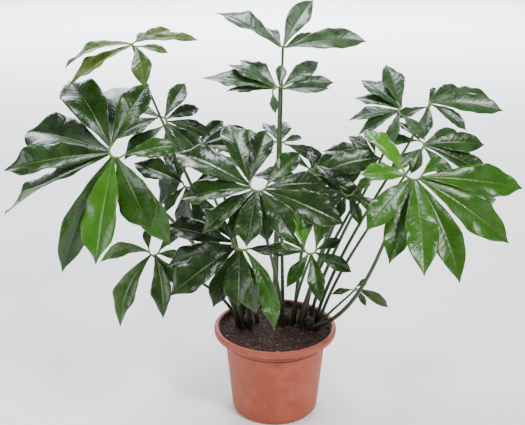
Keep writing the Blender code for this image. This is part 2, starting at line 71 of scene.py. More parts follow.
# The front view in which the leaflets' bearings are given
VIEW_PITCH = 19.5
VIEW_RIGHT = Vector((1.0, 0.0, 0.0))
VIEW_FORWARD = Vector((0.0, math.cos(math.radians(VIEW_PITCH)), -math.sin(math.radians(VIEW_PITCH))))
VIEW_UP = VIEW_RIGHT.cross(VIEW_FORWARD)

# Points of a mesh that are closer than this are one: in turned pieces, rolled tubes and blades
TURNED_MERGE = 0.01 * MM
ROLLED_MERGE = 0.005 * MM
BLADE_MERGE = 0.02 * MM

# Crowns and stalks, as the solids have them
CROWNS = {"left": (-0.055, 0.012), "centre": (0.018, 0.020), "right": (0.067, 0.004)}
STALK_RING = 0.0205
STALK_START = 0.160
STALK_STRAIGHT_TOP = 0.179
STALK_FOOT_RADIUS = 0.0046
STALK_TIP_RADIUS = 0.0029
STALK_STEPS = 44
STALK_SIDES = 14
FULL_ARM = 0.018
UPWARD_PUSH = 0.9
LEANING = {"right_front": -0.62, "low_right": 0.2, "left_front": 1.6, "low_left": 1.6}
# The stalk's curve: how long it keeps to its way out of the crown and to its way into the rachis, as shares
# of the distance, and how much of the second is straight on and how much is up to the frond's face
LEAVING_SHARE = 0.36
ARRIVING_SHARE = 0.28
ARRIVING_ON, ARRIVING_UP = 0.6, 0.8
# Its swellings at the foot and under the rachis: how stout, where along it and how long, all as shares
SWELLINGS = ((0.10, 0.0, 0.04), (0.16, 0.965, 0.03))

# The rachis: the degrees between its points, the sides of its tube, how many degrees it goes past its last
# leaflets, the length of a joint in degrees, how stout it is between joints and how much stouter at them, its
# radius in the middle and at its ends, and its turn as a share of the leaflets' turn
RACHIS_STEP = 5
RACHIS_SIDES = 12
RACHIS_PAST = 2
JOINT_LENGTH = 7
JOINT_THIN, JOINT_SWELLING = 0.86, 0.22
RACHIS_RADIUS = 0.0027
RACHIS_END_RADIUS = 0.0021
RACHIS_SPREAD = 0.62
# Leaflets: how deep the root is sunk, the share of the length that takes the twist, the length that the
# ruffle is given for, and the lifts in degrees, one of which the solid has
ROOT_SUNK = 1.2 * MM
TWIST_LENGTH = 0.35
RUFFLED_LENGTH = 0.16
LIFTS = (0, 6, -6, 12, -12, 18, -18, 24, -24, 30, -30, 38, -38, 46, -46)

# The two forms of a leaflet, of large fronds and of the others: its half width along the midrib as (distance
# from the root, share of the widest), and how far its left edge is up and its right edge down there
FULL = (((0.0, 0.05), (0.13, 0.24), (0.33, 0.66), (0.57, 1.0), (0.69, 0.97), (0.80, 0.77), (0.88, 0.44),
         (0.94, 0.17), (1.0, 0.0)),
        ((0.0, 0), (0.13, 0), (0.33, 1), (0.57, -1), (0.78, 1), (0.92, -1), (1.0, 0)))
PLAIN = (((0.0, 0.05), (0.15, 0.27), (0.31, 0.60), (0.46, 0.89), (0.59, 1.0), (0.70, 0.87), (0.80, 0.65),
          (0.88, 0.40), (0.94, 0.16), (1.0, 0.0)),
         ((0.0, 0), (0.31, 0), (0.59, 1), (0.86, -1), (1.0, 0)))
# A blade's cross section: its slope at the midrib, how far its half width wanders along it and differs from
# side to side, how many slow waves a margin has, its short waves for each, and the quilting between the veins
MIDRIB_SLOPE = 0.42
MARGIN_WANDER = 0.020
LOPSIDED = 0.05
MARGIN_BEATS = (2.4, 3.6)
RUFFLE_RATE = 1.6
QUILTING = 0.35 * MM
# Side veins: how far towards the tip each one ends at the margin, and how its way there curves
VEIN_LEAN = 20 * MM
VEIN_CURVE = 1.35
# The midrib: its radius at both ends, how fast it thins, the share of the blade that it reaches along, and
# how deep it lies, as a share of the blade's thickness
MIDRIB_ROOT = 0.95 * MM
MIDRIB_TIP = 0.17 * MM
MIDRIB_THINNING = 0.7
MIDRIB_REACH = 0.97
MIDRIB_STEPS = 30
MIDRIB_SIDES = 8
MIDRIB_SUNK = 0.9
# How leaflets of one frond differ: in brightness, in how far they have faded and in their painted grey sheen
TONE_SPREAD = 0.03
FADE_SPREAD = (0.5, 1.2)
PAINTED_SHEEN_SPREAD = (0.7, 1.3)
# The skins of a frond, in the order of its material slots
UPPER_SKIN, UNDER_SKIN, RIM_SKIN, STALK_SKIN, RIB_SKIN = range(5)

# The crowns: scars round the stem, their depth, the share of the height that is domed, and how uneven it is
CROWN_SCARS = 7
SCAR_DEPTH = 0.07
CROWN_DOME = 0.24
CROWN_UNEVEN = 0.10
CROWN_ROWS = 40
CROWN_SIDES = 48

# The pot's wall, measured in from the outside of its lip and down from its top: the mouth, the body at its
# two ends, the ledge inside and the small round hem at the lip's lower edge
MOUTH_INSET = 10.5 * MM
BODY_TOP_INSET = 20.8 * MM
BODY_FOOT_INSET = 34.5 * MM
LEDGE_FOOT, LEDGE_TOP = 15.5 * MM, 10.5 * MM
HEM_INSET, HEM_DROP, HEM_ROUND = 2.2 * MM, 11.8 * MM, 1.7 * MM
FLOOR_THICKNESS = 3 * MM
FOOT_ROUND = 9 * MM
# The band under the lip: how proud it stands, where it starts, where its round edge lies and where it ends
BAND_PROUD = 1.6 * MM
BAND_TAPER = 0.6 * MM
BAND_TOP, BAND_EDGE, BAND_END = 14.6 * MM, 17.6 * MM, 20.2 * MM
BAND_ROUND = 1.0 * MM
# The ring under that and the groove below it, in mm: how far out from the body, how far down from the top
LOW_RING = ((-0.4, 23.8), (1.0, 24.8), (1.1, 27.6), (0.6, 28.8), (-1.9, 29.8), (-2.0, 30.8), (-1.1, 32.0))
DRAIN_HOLES = 6
DRAIN_RADIUS = 4.5 * MM
DRAIN_FIRST_BEARING = -36.0
DRAIN_INSET = 4 * MM
DRILL_LENGTH = 26 * MM
DRILL_OFFSET = 1 * MM
CREASE_ANGLE = 40

# The soil's surface: rings and spokes of its mesh, how far its middle lies under the highest clod, how much
# lower its edge is
SOIL_RINGS = 110
SOIL_SPOKES = 256
SOIL_CROWN_DROP = 2.5 * MM
SOIL_EDGE_DROP = 5.0 * MM
# The plug's side from the surface down, as (radius, height): along the ledge, in under it, down to the floor
SOIL_SIDE = ((SOIL_HIGH.x, 168 * MM), (SOIL_HIGH.x - 11.5 * MM, 162.5 * MM), (82 * MM, 12 * MM),
             (74 * MM, SOIL_LOW.z))
# Two slices of the noise that the clods and the low lumps are read from
CLOD_SLICE, LUMP_SLICE = 3.7, 9.1
# Loose grit: its two colours, roughness, how common it is and its stretch along, across and up
Grit = namedtuple("Grit", "name colour other roughness weight stretch")
GRIT = (
    Grit("peat_crumbs", "#241712", "#4A2C21", 0.95, 10, (1.0, 0.7, 0.6)),
    Grit("bark_chips", "#4A2D20", "#7C5843", 0.85, 4, (1.9, 0.6, 0.28)),
    Grit("pale_grit", "#7D6658", "#A38E80", 0.85, 0.5, (1.0, 0.8, 0.7)),
)
GRIT_SIZES = (0.9 * MM, 1.2 * MM, 1.6 * MM, 2.4 * MM)
STONE_RADIUS = 2.9 * MM
STONE_PLACE = (0.004, -0.0985)
STONE_STRETCH = (1.3, 0.9, 0.7)

# Lights: name, place, the point it faces (straight down without one), size, share of the key light's power
# and colour
PLANT_MIDDLE = (0.0, 0.0, 0.42)
LIGHTS = (
    ("window_light", (1.7, -1.9, 2.6), PLANT_MIDDLE, (0.8, 0.6), 1.3, "#FFFFFF"),
    ("top_light", (-0.5, 0.6, 2.9), PLANT_MIDDLE, (0.9, 0.6), 0.8, "#F2F6FF"),
    ("side_light", (-2.4, -1.2, 1.5), PLANT_MIDDLE, (1.4, 1.4), 0.42, "#F6FAFF"),
    ("background_light", (0.0, 6.4, 3.0), None, (9.0, 5.0), 17.0, "#F4F8FF"),
)
SKY_COLOUR = "#F1F5FA"
SENSOR_WIDTH = 36.0
CLIP_NEAR, CLIP_FAR = 0.05, 200.0

# A leaflet: its bearing in the front view (clockwise from up), its reach in mm from the middle of the
# rachis to its tip, then in degrees its lift out of the frond's plane, bend back, sideways sweep and twist,
# its width as a share of its length, and how bright it is next to its frond
Leaflet = namedtuple("Leaflet", "bearing reach lift bend sweep twist width glow")
# A frond: its crown, its place round the crown, the middle of its rachis, the way it faces (degrees right of
# the front, degrees up), the bearing of its middle leaflet, the rachis's radius, the form of its leaflets,
# its look (how bright its green is, how far it has yellowed, how much grey sheen is painted on for the sky's
# reflection, each 0 to 1) and its leaflets
Frond = namedtuple("Frond", "name crown place hub faces axis arm form look leaflets")


def leaf(bearing, reach, lift=0, bend=28, sweep=0, twist=14, width=0.36, glow=0.0):
    """One leaflet's numbers, with the usual bend and width."""
    return Leaflet(bearing, reach * MM, lift, bend, sweep, twist, width, glow)


FRONDS = (
    Frond("left_front", "left", 215, (-0.265, -0.140, 0.571), (-10, 42), 228, 0.015, FULL, (0.1, 0, 0), (
        leaf(330, 216, 0, 28, -14, width=0.37, glow=-0.03), leaf(289, 222, -4, width=0.42, glow=-0.04),
        leaf(260, 199, 14, width=0.36), leaf(254, 270, -10, 30, 0, 40, width=0.32),
        leaf(215, 232, -8, 30, -6, -48, width=0.24, glow=0.05),
        leaf(189, 198, 4, 20, width=0.38, glow=0.26), leaf(155, 152, width=0.46, glow=0.06),
        leaf(78, 102, -4, glow=0.1), leaf(17, 148, 4), leaf(352, 220, -16, 30),
        leaf(149, 184, -18, 20, width=0.30, glow=0.16))),
    Frond("right_front", "right", 290, (0.231, -0.120, 0.527), (12, 46), 192, 0.016, FULL, (0.25, 0, 0), (
        leaf(318, 116, 6, width=0.42, glow=0.3), leaf(270, 92, 6, width=0.54, glow=0.12),
        leaf(222, 142, 6), leaf(197, 170, width=0.31), leaf(180, 198, 4, width=0.30),
        leaf(149, 206, 0, 28, 12, width=0.27), leaf(120, 212, width=0.31),
        leaf(99, 226, -16, 28, -20, width=0.30), leaf(94, 212, 2, 20, width=0.29), leaf(60, 84, -4))),
    Frond("middle_front", "centre", 262, (-0.032, -0.180, 0.524), (0, 50), 190, 0.014, FULL, (0.06, 0, 0), (
        leaf(337, 154, 4), leaf(296, 168, 4, width=0.44), leaf(265, 134, 2, width=0.46),
        leaf(235, 124, -4), leaf(191, 113, 6, width=0.46), leaf(144, 112, 4, width=0.44),
        leaf(109, 158), leaf(82, 124, 4), leaf(48, 104, 4), leaf(8, 118, -2), leaf(213, 106, -8),
        leaf(168, 100, -8))),
    Frond("low_front", "left", 285, (-0.057, -0.200, 0.434), (-6, 42), 215, 0.018, FULL, (0.03, 0, 0), (
        leaf(284, 152), leaf(257, 144, -4), leaf(232, 152, 4, width=0.46), leaf(208, 124, -6),
        leaf(184, 115, 6, width=0.52), leaf(140, 161, -2, 12, 42, 20, width=0.22, glow=0.2),
        leaf(310, 101, 2), leaf(170, 128, -8, width=0.34, glow=0.1), leaf(106, 60))),
    Frond("crest", "centre", 140, (0.011, 0.060, 0.705), (0, 60), 10, 0.011, PLAIN, (0.12, 0.05, 0.5), (
        leaf(300, 162, 24, 40), leaf(334, 86, 6), leaf(27, 134, 20, 14, 14), leaf(84, 160, 16, 30),
        leaf(58, 96, 2))),
    Frond("upper_middle", "centre", 182, (0.005, 0.000, 0.640), (0, 56), 5, 0.012, PLAIN, (0.1, 0, 0.4), (
        leaf(275, 98, 4, 20), leaf(281, 144, 10, 20), leaf(296, 110, 10, 18), leaf(320, 132, -2, 18),
        leaf(6, 72, 8, 18), leaf(48, 112, 4, 14), leaf(78, 104, 8, 20), leaf(92, 90, 10, 16),
        leaf(190, 46))),
    Frond("left_top", "left", 148, (-0.241, -0.020, 0.728), (-12, 66), 262, 0.009, PLAIN, (0.18, 0.5, 0.25), (
        leaf(268, 152, 8, 52), leaf(248, 146, -4, 26, width=0.42),
        leaf(154, 98, -8, 24, 16, width=0.40), leaf(79, 108, 6, width=0.24), leaf(50, 81, 4),
        leaf(98, 58), leaf(16, 54))),
    Frond("right_top", "right", 80, (0.241, 0.050, 0.594), (-14, 54), 290, 0.012, PLAIN, (0.12, 0, 0.4), (
        leaf(344, 118, 14, 16, width=0.42), leaf(314, 126, 10), leaf(296, 116, 8), leaf(267, 110, 4),
        leaf(250, 100), leaf(150, 74, 4), leaf(212, 80, -4))),
    Frond("right_far", "right", 44, (0.288, 0.110, 0.596), (14, 60), 82, 0.012, PLAIN, (0.12, 0, 0.35), (
        leaf(62, 108, 8), leaf(81, 162, 10, 36), leaf(96, 156, 12, 22), leaf(113, 98, -4),
        leaf(40, 66, 6), leaf(246, 82, 4), leaf(188, 84, -4))),
    Frond("right_middle", "right", 10, (0.267, 0.030, 0.534), (14, 52), 92, 0.010, PLAIN, (0.12, 0, 0.15), (
        leaf(70, 104, 6), leaf(87, 138, 4), leaf(105, 164, 4, width=0.30), leaf(282, 66, width=0.50),
        leaf(132, 108, -6), leaf(330, 78), leaf(232, 86), leaf(200, 62, width=0.46))),
    Frond("right_inner", "right", 152, (0.202, 0.080, 0.500), (-18, 46), 262, 0.013, PLAIN, (0.08, 0, 0.1), (
        leaf(308, 86, 6), leaf(280, 122, 4), leaf(260, 132, 2), leaf(238, 142), leaf(345, 84))),
    Frond("low_middle", "centre", 318, (0.060, -0.100, 0.379), (6, 44), 168, 0.011, PLAIN, (0.1, 0, 0), (
        leaf(169, 99, 2), leaf(115, 88), leaf(72, 64, 4), leaf(22, 78, 4, width=0.44),
        leaf(346, 88, 2, width=0.54, glow=0.3), leaf(266, 92), leaf(214, 84), leaf(304, 84))),
    Frond("low_left", "left", 180, (-0.225, -0.050, 0.355), (-12, 36), 192, 0.010, PLAIN, (0.18, 0.1, 0.1), (
        leaf(286, 112, 4, 20, -60, 14, 0.30), leaf(223, 158, 2, 26, -36, width=0.32),
        leaf(158, 130, 4, 14, 26, width=0.34), leaf(143, 82), leaf(96, 58), leaf(335, 52),
        leaf(44, 72))),
    Frond("low_right", "right", 326, (0.149, -0.010, 0.263), (24, 50), 130, 0.007, PLAIN, (0.12, 0.2, 0.2), (
        leaf(114, 85, 2, width=0.30), leaf(140, 46), leaf(258, 46), leaf(66, 44))),
    Frond("left_back", "left", 112, (-0.219, 0.080, 0.566), (10, 52), 62, 0.012, PLAIN, (0.05, 0, 0.15), (
        leaf(26, 114, 12), leaf(58, 98, 4), leaf(95, 104, -4), leaf(124, 126), leaf(158, 122),
        leaf(300, 104, width=0.44), leaf(257, 116, width=0.44), leaf(226, 104, width=0.44),
        leaf(243, 96, width=0.50))),
    Frond("left_inner", "left", 20, (-0.150, 0.120, 0.500), (-8, 52), 300, 0.013, PLAIN, (0.03, 0, 0), (
        leaf(62, 116, 4), leaf(88, 148), leaf(350, 74, 4), leaf(310, 120), leaf(272, 142),
        leaf(232, 150, width=0.42), leaf(30, 102))),
    Frond("left_hanging", "left", 248, (-0.160, -0.010, 0.475), (-20, 44), 215, 0.012, PLAIN, (0.05, 0, 0), (
        leaf(287, 122, width=0.44), leaf(224, 80), leaf(200, 118, -2, 20, width=0.44),
        leaf(150, 130, width=0.40), leaf(62, 84))),
    Frond("middle_right", "centre", 8, (0.060, 0.020, 0.480), (14, 52), 100, 0.014, PLAIN, (0.05, 0, 0), (
        leaf(80, 150, 2, width=0.40), leaf(108, 122, width=0.40), leaf(148, 86), leaf(180, 122),
        leaf(50, 86, 2, width=0.40), leaf(8, 66, 2), leaf(314, 78, width=0.44),
        leaf(272, 104, width=0.44))),
    Frond("right_low_inner", "right", 210, (0.130, -0.030, 0.465), (8, 50), 200, 0.012, PLAIN, (0.06, 0, 0), (
        leaf(232, 112), leaf(202, 66), leaf(158, 72), leaf(118, 84), leaf(272, 116), leaf(318, 86),
        leaf(58, 64))),
    Frond("middle_back", "centre", 96, (0.010, 0.190, 0.490), (4, 62), 20, 0.013, PLAIN, (0.04, 0, 0.1), (
        leaf(16, 88, 6), leaf(62, 64, 2), leaf(104, 110), leaf(332, 94, 4), leaf(288, 130),
        leaf(236, 104, width=0.44))),
    Frond("back_left", "left", 78, (-0.130, 0.270, 0.440), (200, 48), 0, 0.015, PLAIN, (0.12, 0, 0), (
        leaf(0, 146), leaf(48, 138), leaf(96, 124), leaf(265, 132))),
    Frond("back_right", "right", 114, (0.170, 0.270, 0.430), (160, 48), 0, 0.015, PLAIN, (0.14, 0, 0), (
        leaf(0, 146), leaf(48, 138), leaf(96, 124), leaf(312, 104), leaf(265, 132))),
)


def linear(colour):
    """A colour written as sRGB hex, in the linear values that shaders take."""
    parts = [int(colour[start:start + 2], 16) / 255 for start in (1, 3, 5)]
    return tuple(part / 12.92 if part <= 0.04045 else ((part + 0.055) / 1.055) ** 2.4 for part in parts)


def colour_property(label, about, colour):
    """A colour that a user can change."""
    return FloatVectorProperty(name=label, description=about, subtype="COLOR", size=3, min=0, max=1,
                               default=linear(colour))


def length_property(label, about, metres, low=0.0):
    """A length that a user can change, in metres."""
    return FloatProperty(name=label, description=about, subtype="DISTANCE", unit="LENGTH", min=low,
                         default=metres)


class PotSettings(bpy.types.PropertyGroup):
    """The moulded pot."""
    height: length_property("Height", "From the floor to the top of the lip", POT_HIGH.z)
    lip_radius: length_property("Lip radius", "Outside of the rolled lip", POT_HIGH.x)
    wall: length_property("Wall", "Thickness of the moulded wall", 2.2 * MM)
    sides: IntProperty(name="Sides", description="Facets round the pot", default=144, min=12)
    colour: colour_property("Plastic", "Terracotta pigment of the plastic", "#9C4329")
    worn: colour_property("Scuffed plastic", "Where the plastic is rubbed or chalky", "#C07A60")


class SoilSettings(bpy.types.PropertyGroup):
    """The potting mix and what lies in it."""
    crumb: length_property("Clod size", "Usual distance between clods", 7 * MM)
    relief: length_property("Relief", "Height of the clods", 2.6 * MM)
    crumbs: IntProperty(name="Crumbs", description="Loose crumbs and chips on the soil", default=420, min=0)
    dark: colour_property("Peat", "Damp peat", "#1C110D")
    brown: colour_property("Bark fibre", "Reddish brown fibre in the peat", "#3A2018")


class FrondSettings(bpy.types.PropertyGroup):
    """The leaflets and stalks."""
    rows: IntProperty(name="Rows", description="Faces along a leaflet", default=56, min=8)
    columns: IntProperty(name="Columns", description="Faces across a leaflet", default=14, min=4)
    thickness: length_property("Thickness", "Of a leaflet's blade", 0.7 * MM)
    fold: FloatProperty(name="Fold", description="How far the two halves rise from the midrib",
                        subtype="ANGLE", unit="ROTATION", default=math.radians(14))
    wave: FloatProperty(name="Wave", description="Height of the edge's long waves, as a share of the length",
                        default=0.055, min=0)
    ruffle: length_property("Ruffle", "Height of the edge's short waves on a leaflet 16 cm long", 1.5 * MM)
    vein_spacing: length_property("Vein spacing", "Between side veins, along the midrib", 11 * MM, 1 * MM)
    deep: colour_property("Deep green", "Upper side of the darkest leaflets", "#0E1F08")
    bright: colour_property("Bright green", "Upper side of the brightest leaflets", "#56A011")
    under: colour_property("Underside", "Lower side of the leaflets", "#55683A")
    vein: colour_property("Midrib", "Midribs, side veins and margins", "#67853F")
    stalk: colour_property("Stalk", "Upper part of the stalks", "#41572C")
    stalk_foot: colour_property("Stalk foot", "Lower part of the stalks", "#25281A")


class StageSettings(bpy.types.PropertyGroup):
    """The floor, the lights and the camera."""
    floor: colour_property("Floor", "The plain floor", "#FBFAF8")
    floor_size: length_property("Floor size", "Side of the floor", 60.0)
    sky: FloatProperty(name="Fill light", description="Strength of the even light from all round", min=0,
                       default=0.25)
    key: FloatProperty(name="Key light", description="Power that the lights' shares are taken of",
                       unit="POWER", min=0, default=90.0)


def output_of(value):
    """A node's first live output, and any other value as it is."""
    if isinstance(value, bpy.types.Node):
        return next(output for output in value.outputs if output.enabled)
    return value


def node(tree, kind, *values, **named):
    """Add a shader node: values fill its live sockets in order, and capitalised names are sockets too."""
    made = tree.nodes.new("ShaderNode" + kind)
    for name, value in named.items():
        if name[0].islower():
            setattr(made, name, value)
    live = [socket for socket in made.inputs if socket.enabled]
    filled = list(zip(live, values))
    filled += [(made.inputs[name], value) for name, value in named.items() if name[0].isupper()]
    for socket, value in filled:
        source = output_of(value)
        if isinstance(source, bpy.types.NodeSocket):
            tree.links.new(source, socket)
        else:
            socket.default_value = (*source, 1) if socket.type == "RGBA" else source
    return made


def finish_named(name, ior, roughness):
    """A new material, what adds a node to it, and its shader with the values that are even all over it."""
    made = bpy.data.materials.new(name)
    made.use_nodes = True
    shader = made.node_tree.nodes["Principled BSDF"]
    shader.inputs["IOR"].default_value = ior
    shader.inputs["Roughness"].default_value = roughness
    return made, partial(node, made.node_tree), shader


def dress(shader, colour, relief, depth, strength, roughness=None):
    """Link a finish's patterns to its shader: its colour, its relief of this depth, its roughness if any."""
    tree = shader.id_data
    bump = node(tree, "Bump", Height=relief, Distance=depth, Strength=strength)
    for name, source in (("Base Color", colour), ("Normal", bump), ("Roughness", roughness)):
        if source is not None:
            tree.links.new(output_of(source), shader.inputs[name])


def moulded_polypropylene(settings):
    """Injection moulded polypropylene with terracotta pigment."""
    # Slightly waxy and evenly coloured, with faint fine rings from the mould and chalky scuffs
    made, add, shader = finish_named("moulded_polypropylene", 1.49, 0.56)
    lip, top = settings.lip_radius, settings.height
    place = add("TexCoord").outputs["Object"]
    parts = add("SeparateXYZ", place)
    height = parts.outputs["Z"]
    reach = add("VectorMath", add("CombineXYZ", parts.outputs["X"], parts.outputs["Y"]), operation="LENGTH")
    blotch = add("TexNoise", Vector=place, Scale=1 / (35 * MM), Detail=4.0, Roughness=0.6)
    chalk = add("MapRange", blotch, 0.45, 0.75, 0.0, 0.34)
    tint = add("Mix", chalk, settings.colour, settings.worn, data_type="RGBA")
    # Wet soil has smeared the inner wall
    inside = add("MapRange", reach, lip - 6 * MM, lip - 9.5 * MM)
    mouth = add("MapRange", height, top - 14 * MM, top - 11 * MM)
    smear = add("TexNoise", Vector=place, Scale=1 / (6 * MM), Detail=5.0)
    patches = add("MapRange", smear, 0.3, 0.6, 0.72, 0.96)
    soiled = add("Math", inside, mouth, operation="MULTIPLY")
    smear_and_shade = add("Math", soiled, patches, operation="MULTIPLY")
    # Painted shade darkens the hollow under the lip and the groove under the ring, and the wall darkens
    # towards its foot
    below = add("MapRange", reach, lip - 8 * MM, lip - 14 * MM)
    painted_lip_shade = add("MapRange", height, top - 25.0 * MM, top - 23.2 * MM, 0.0, 0.85)
    shaded = add("Math", below, painted_lip_shade, operation="MULTIPLY")
    off = add("Math", height, -(top - 30.3 * MM), operation="ADD")
    painted_groove_shade = add("MapRange", add("Math", off, operation="ABSOLUTE"), 2.0 * MM, 0.9 * MM, 0.0, 0.6)
    foot = add("MapRange", height, 12 * MM, 0.0, 0.0, 0.25)
    for part in (shaded, painted_groove_shade, foot):
        smear_and_shade = add("Math", smear_and_shade, part, operation="MAXIMUM")
    # The soil's smear and the painted shade under the lip and in the groove both mix in this dark brown
    base = add("Mix", smear_and_shade, tint, linear("#3A2019"), data_type="RGBA")
    level = add("Math", height, 1 / (2.6 * MM), operation="MULTIPLY")
    rings = add("TexNoise", W=level, Detail=2.0, noise_dimensions="1D")
    grain = add("TexNoise", Vector=place, Scale=1 / (0.9 * MM), Detail=2.0)
    relief = add("Math", grain, 0.35, rings, operation="MULTIPLY_ADD")
    rough = add("MapRange", blotch, 0.3, 0.7, 0.50, 0.64)
    dress(shader, base, relief, 0.35 * MM, 0.55, rough)
    return made


def damp_peat(settings):
    """Peat and bark fibre, loose and crumbly."""
    # Nearly black and matt, with reddish fibre and paler grit in it
    made, add, shader = finish_named("damp_peat", 1.4, 0.95)
    place = add("TexCoord").outputs["Object"]
    clods = add("TexNoise", Vector=place, Scale=1 / (5 * MM), Detail=6.0, Roughness=0.7)
    base = add("Mix", add("MapRange", clods, 0.42, 0.66), settings.dark, settings.brown, data_type="RGBA")
    flecks = add("TexVoronoi", Vector=place, Scale=1 / (2.2 * MM))
    chip = add("MapRange", add("SeparateColor", flecks.outputs["Color"]), 0.93, 0.98, 0.0, 0.7)
    tone = add("Mix", chip, base, linear("#7A5644"), data_type="RGBA")
    dress(shader, tone, clods, 2.0 * MM, 0.9)
    return made


def plain_grit(grit):
    """Loose grit of one kind: crumbs of peat, bark chips or small stones."""
    # Dry and matt, each piece a little lighter or darker across
    made, add, shader = finish_named(grit.name, 1.5, grit.roughness)
    place = add("TexCoord").outputs["Object"]
    spots = add("TexNoise", Vector=place, Scale=1 / (3 * MM), Detail=4.0)
    base = add("Mix", spots, linear(grit.colour), linear(grit.other), data_type="RGBA")
    dress(shader, base, spots, 0.6 * MM, 0.7)
    return made


def leaf_skin(name, settings, deep, bright, vein_share, roughness, coat):
    """A leaf's skin, patterned by its own map: across from -1 to 1, and metres along the midrib."""
    made, add, shader = finish_named(name, 1.45, roughness)
    for socket, value in (("Coat Weight", coat), ("Coat Roughness", 0.12), ("Coat IOR", 1.4)):
        shader.inputs[socket].default_value = value
    place = add("TexCoord").outputs["Object"]
    spread = add("SeparateXYZ", add("UVMap", uv_map="blade"))
    across, along = spread.outputs["X"], spread.outputs["Y"]
    state = add("Attribute", attribute_name="leaf_state")
    tone, fade, share = add("SeparateColor", state.outputs["Color"]).outputs
    painted_sheen = state.outputs["Alpha"]
    aside = add("Math", across, operation="ABSOLUTE")
    # The midrib's pale line covers 4.5% of each half of the blade at its root and under 1% at its tip
    line = add("MapRange", share, 0.0, 1.0, 0.045, 0.008)
    midrib = add("MapRange", aside, line, add("Math", line, 0.45, operation="MULTIPLY"))
    # Side veins leave the midrib and lean towards the tip
    lean = add("Math", aside, VEIN_CURVE, operation="POWER")
    start = add("Math", lean, -VEIN_LEAN, along, operation="MULTIPLY_ADD")
    count = add("Math", start, 1 / settings.vein_spacing, operation="MULTIPLY")
    between = add("Math", count, 0.5, operation="PINGPONG")
    veins = add("MapRange", between, 0.075, 0.01, 0.0, vein_share)
    # The net between them has cells of about 2.4 mm, on a blade 50 mm wide
    flat = add("CombineXYZ", add("Math", across, 25 * MM, operation="MULTIPLY"), along)
    net = add("TexVoronoi", Vector=flat, Scale=1 / (2.4 * MM), feature="DISTANCE_TO_EDGE")
    mesh = add("MapRange", net, 0.10, 0.0, 0.0, 0.04)
    cloud = add("TexNoise", Vector=place, Scale=1 / (26 * MM), Detail=4.0, Roughness=0.55)
    drift = add("Math", cloud, 0.5, operation="SUBTRACT")
    shade = add("Math", drift, 0.28, tone, operation="MULTIPLY_ADD")
    green = add("Mix", shade, deep, bright, data_type="RGBA")
    # Fading starts in the cloud's light patches, and its oldest spots are brown
    patchy = add("MapRange", cloud, 0.35, 0.65, 0.15, 1.0)
    faded = add("Math", fade, patchy, operation="MULTIPLY")
    yellow = add("Mix", faded, green, linear("#8E9A3C"), data_type="RGBA")
    spots = add("TexNoise", Vector=place, Scale=1 / (9 * MM), Detail=5.0)
    old = add("Math", add("MapRange", spots, 0.60, 0.66), fade, operation="MULTIPLY")
    spotted = add("Mix", old, yellow, linear("#6E4A22"), data_type="RGBA")
    # Painted sheen: grey mixed into the colour for the sky's reflection, stronger in the same patches
    sheen_mask = add("Math", painted_sheen, patchy, operation="MULTIPLY")
    greyed = add("Mix", sheen_mask, spotted, linear("#56635A"), data_type="RGBA")
    # Veins, net, margin and midrib share one pale green
    margin = add("MapRange", aside, 0.965, 0.99, 0.0, 0.5)
    lines = add("Math", midrib, 0.85, operation="MULTIPLY")
    for part in (veins, mesh, margin):
        lines = add("Math", lines, part, operation="MAXIMUM")
    base = add("Mix", lines, greyed, settings.vein, data_type="RGBA")
    # Puckers of about 9 mm between the veins break the shine up
    pucker = add("TexNoise", Vector=place, Scale=1 / (9 * MM), Detail=1.0)
    swell = add("Math", between, 0.8, net, operation="MULTIPLY_ADD")
    relief = add("Math", pucker, 2.0, swell, operation="MULTIPLY_ADD")
    rough = add("MapRange", cloud, 0.3, 0.7, roughness - 0.05, roughness + 0.07)
    dress(shader, base, relief, 0.5 * MM, 0.55, rough)
    return made


def stalk_skin(settings):
    """A stalk's skin, smooth and slightly waxy."""
    # Light green above, with fine streaks along it, and dull brownish green where it leaves the soil
    made, add, shader = finish_named("stalk_skin", 1.45, 0.42)
    place = add("TexCoord").outputs["Object"]
    height = add("SeparateXYZ", place).outputs["Z"]
    streak = add("Mapping", Vector=add("UVMap", uv_map="blade"), Scale=(6.0, 1 / (30 * MM), 1.0))
    fibres = add("TexNoise", Vector=streak, Scale=1.6, Detail=4.0)
    blotch = add("TexNoise", Vector=place, Scale=1 / (20 * MM), Detail=3.0)
    wander = add("Math", blotch, 0.5, -0.25, operation="MULTIPLY_ADD")
    rise = add("MapRange", height, SOIL_HIGH.z, SOIL_HIGH.z + 0.16)
    level = add("Math", rise, wander, operation="ADD")
    green = add("Mix", level, settings.stalk_foot, settings.stalk, data_type="RGBA")
    light = add("MapRange", fibres, 0.3, 0.7, 0.72, 1.22)
    base = add("Mix", 1.0, green, light, data_type="RGBA", blend_type="MULTIPLY")
    dress(shader, base, fibres, 0.3 * MM, 0.4)
    return made


def rib_skin(settings):
    """The pale, firm skin of rachis and midribs."""
    # Smooth and yellowish green, like the cut edge of a leaf
    made, add, shader = finish_named("rib_skin", 1.45, 0.5)
    place = add("TexCoord").outputs["Object"]
    cloud = add("TexNoise", Vector=place, Scale=1 / (14 * MM), Detail=3.0)
    deeper = [channel * 0.55 for channel in settings.vein]
    base = add("Mix", cloud, deeper, settings.vein, data_type="RGBA")
    dress(shader, base, cloud, 0.2 * MM, 0.3)
    return made


def crown_bark():
    """Corky skin of the plants' short stems."""
    # Brown-green, ringed by the scars of old stalks, dry and matt
    made, add, shader = finish_named("crown_bark", 1.45, 0.8)
    place = add("TexCoord").outputs["Object"]
    height = add("SeparateXYZ", place).outputs["Z"]
    cloud = add("TexNoise", Vector=place, Scale=1 / (6 * MM), Detail=5.0)
    bent = add("Math", cloud, 4 * MM, height, operation="MULTIPLY_ADD")
    count = add("Math", bent, 1 / (6 * MM), operation="MULTIPLY")
    scars = add("Math", count, 0.5, operation="PINGPONG")
    base = add("Mix", cloud, linear("#1E1810"), linear("#423C28"), data_type="RGBA")
    dress(shader, base, scars, 1.2 * MM, 0.8)
    return made


def mesh_from(bm, name):
    """A mesh made of a bmesh, which is freed."""
    mesh = bpy.data.meshes.new(name)
    bm.to_mesh(mesh)
    bm.free()
    return mesh


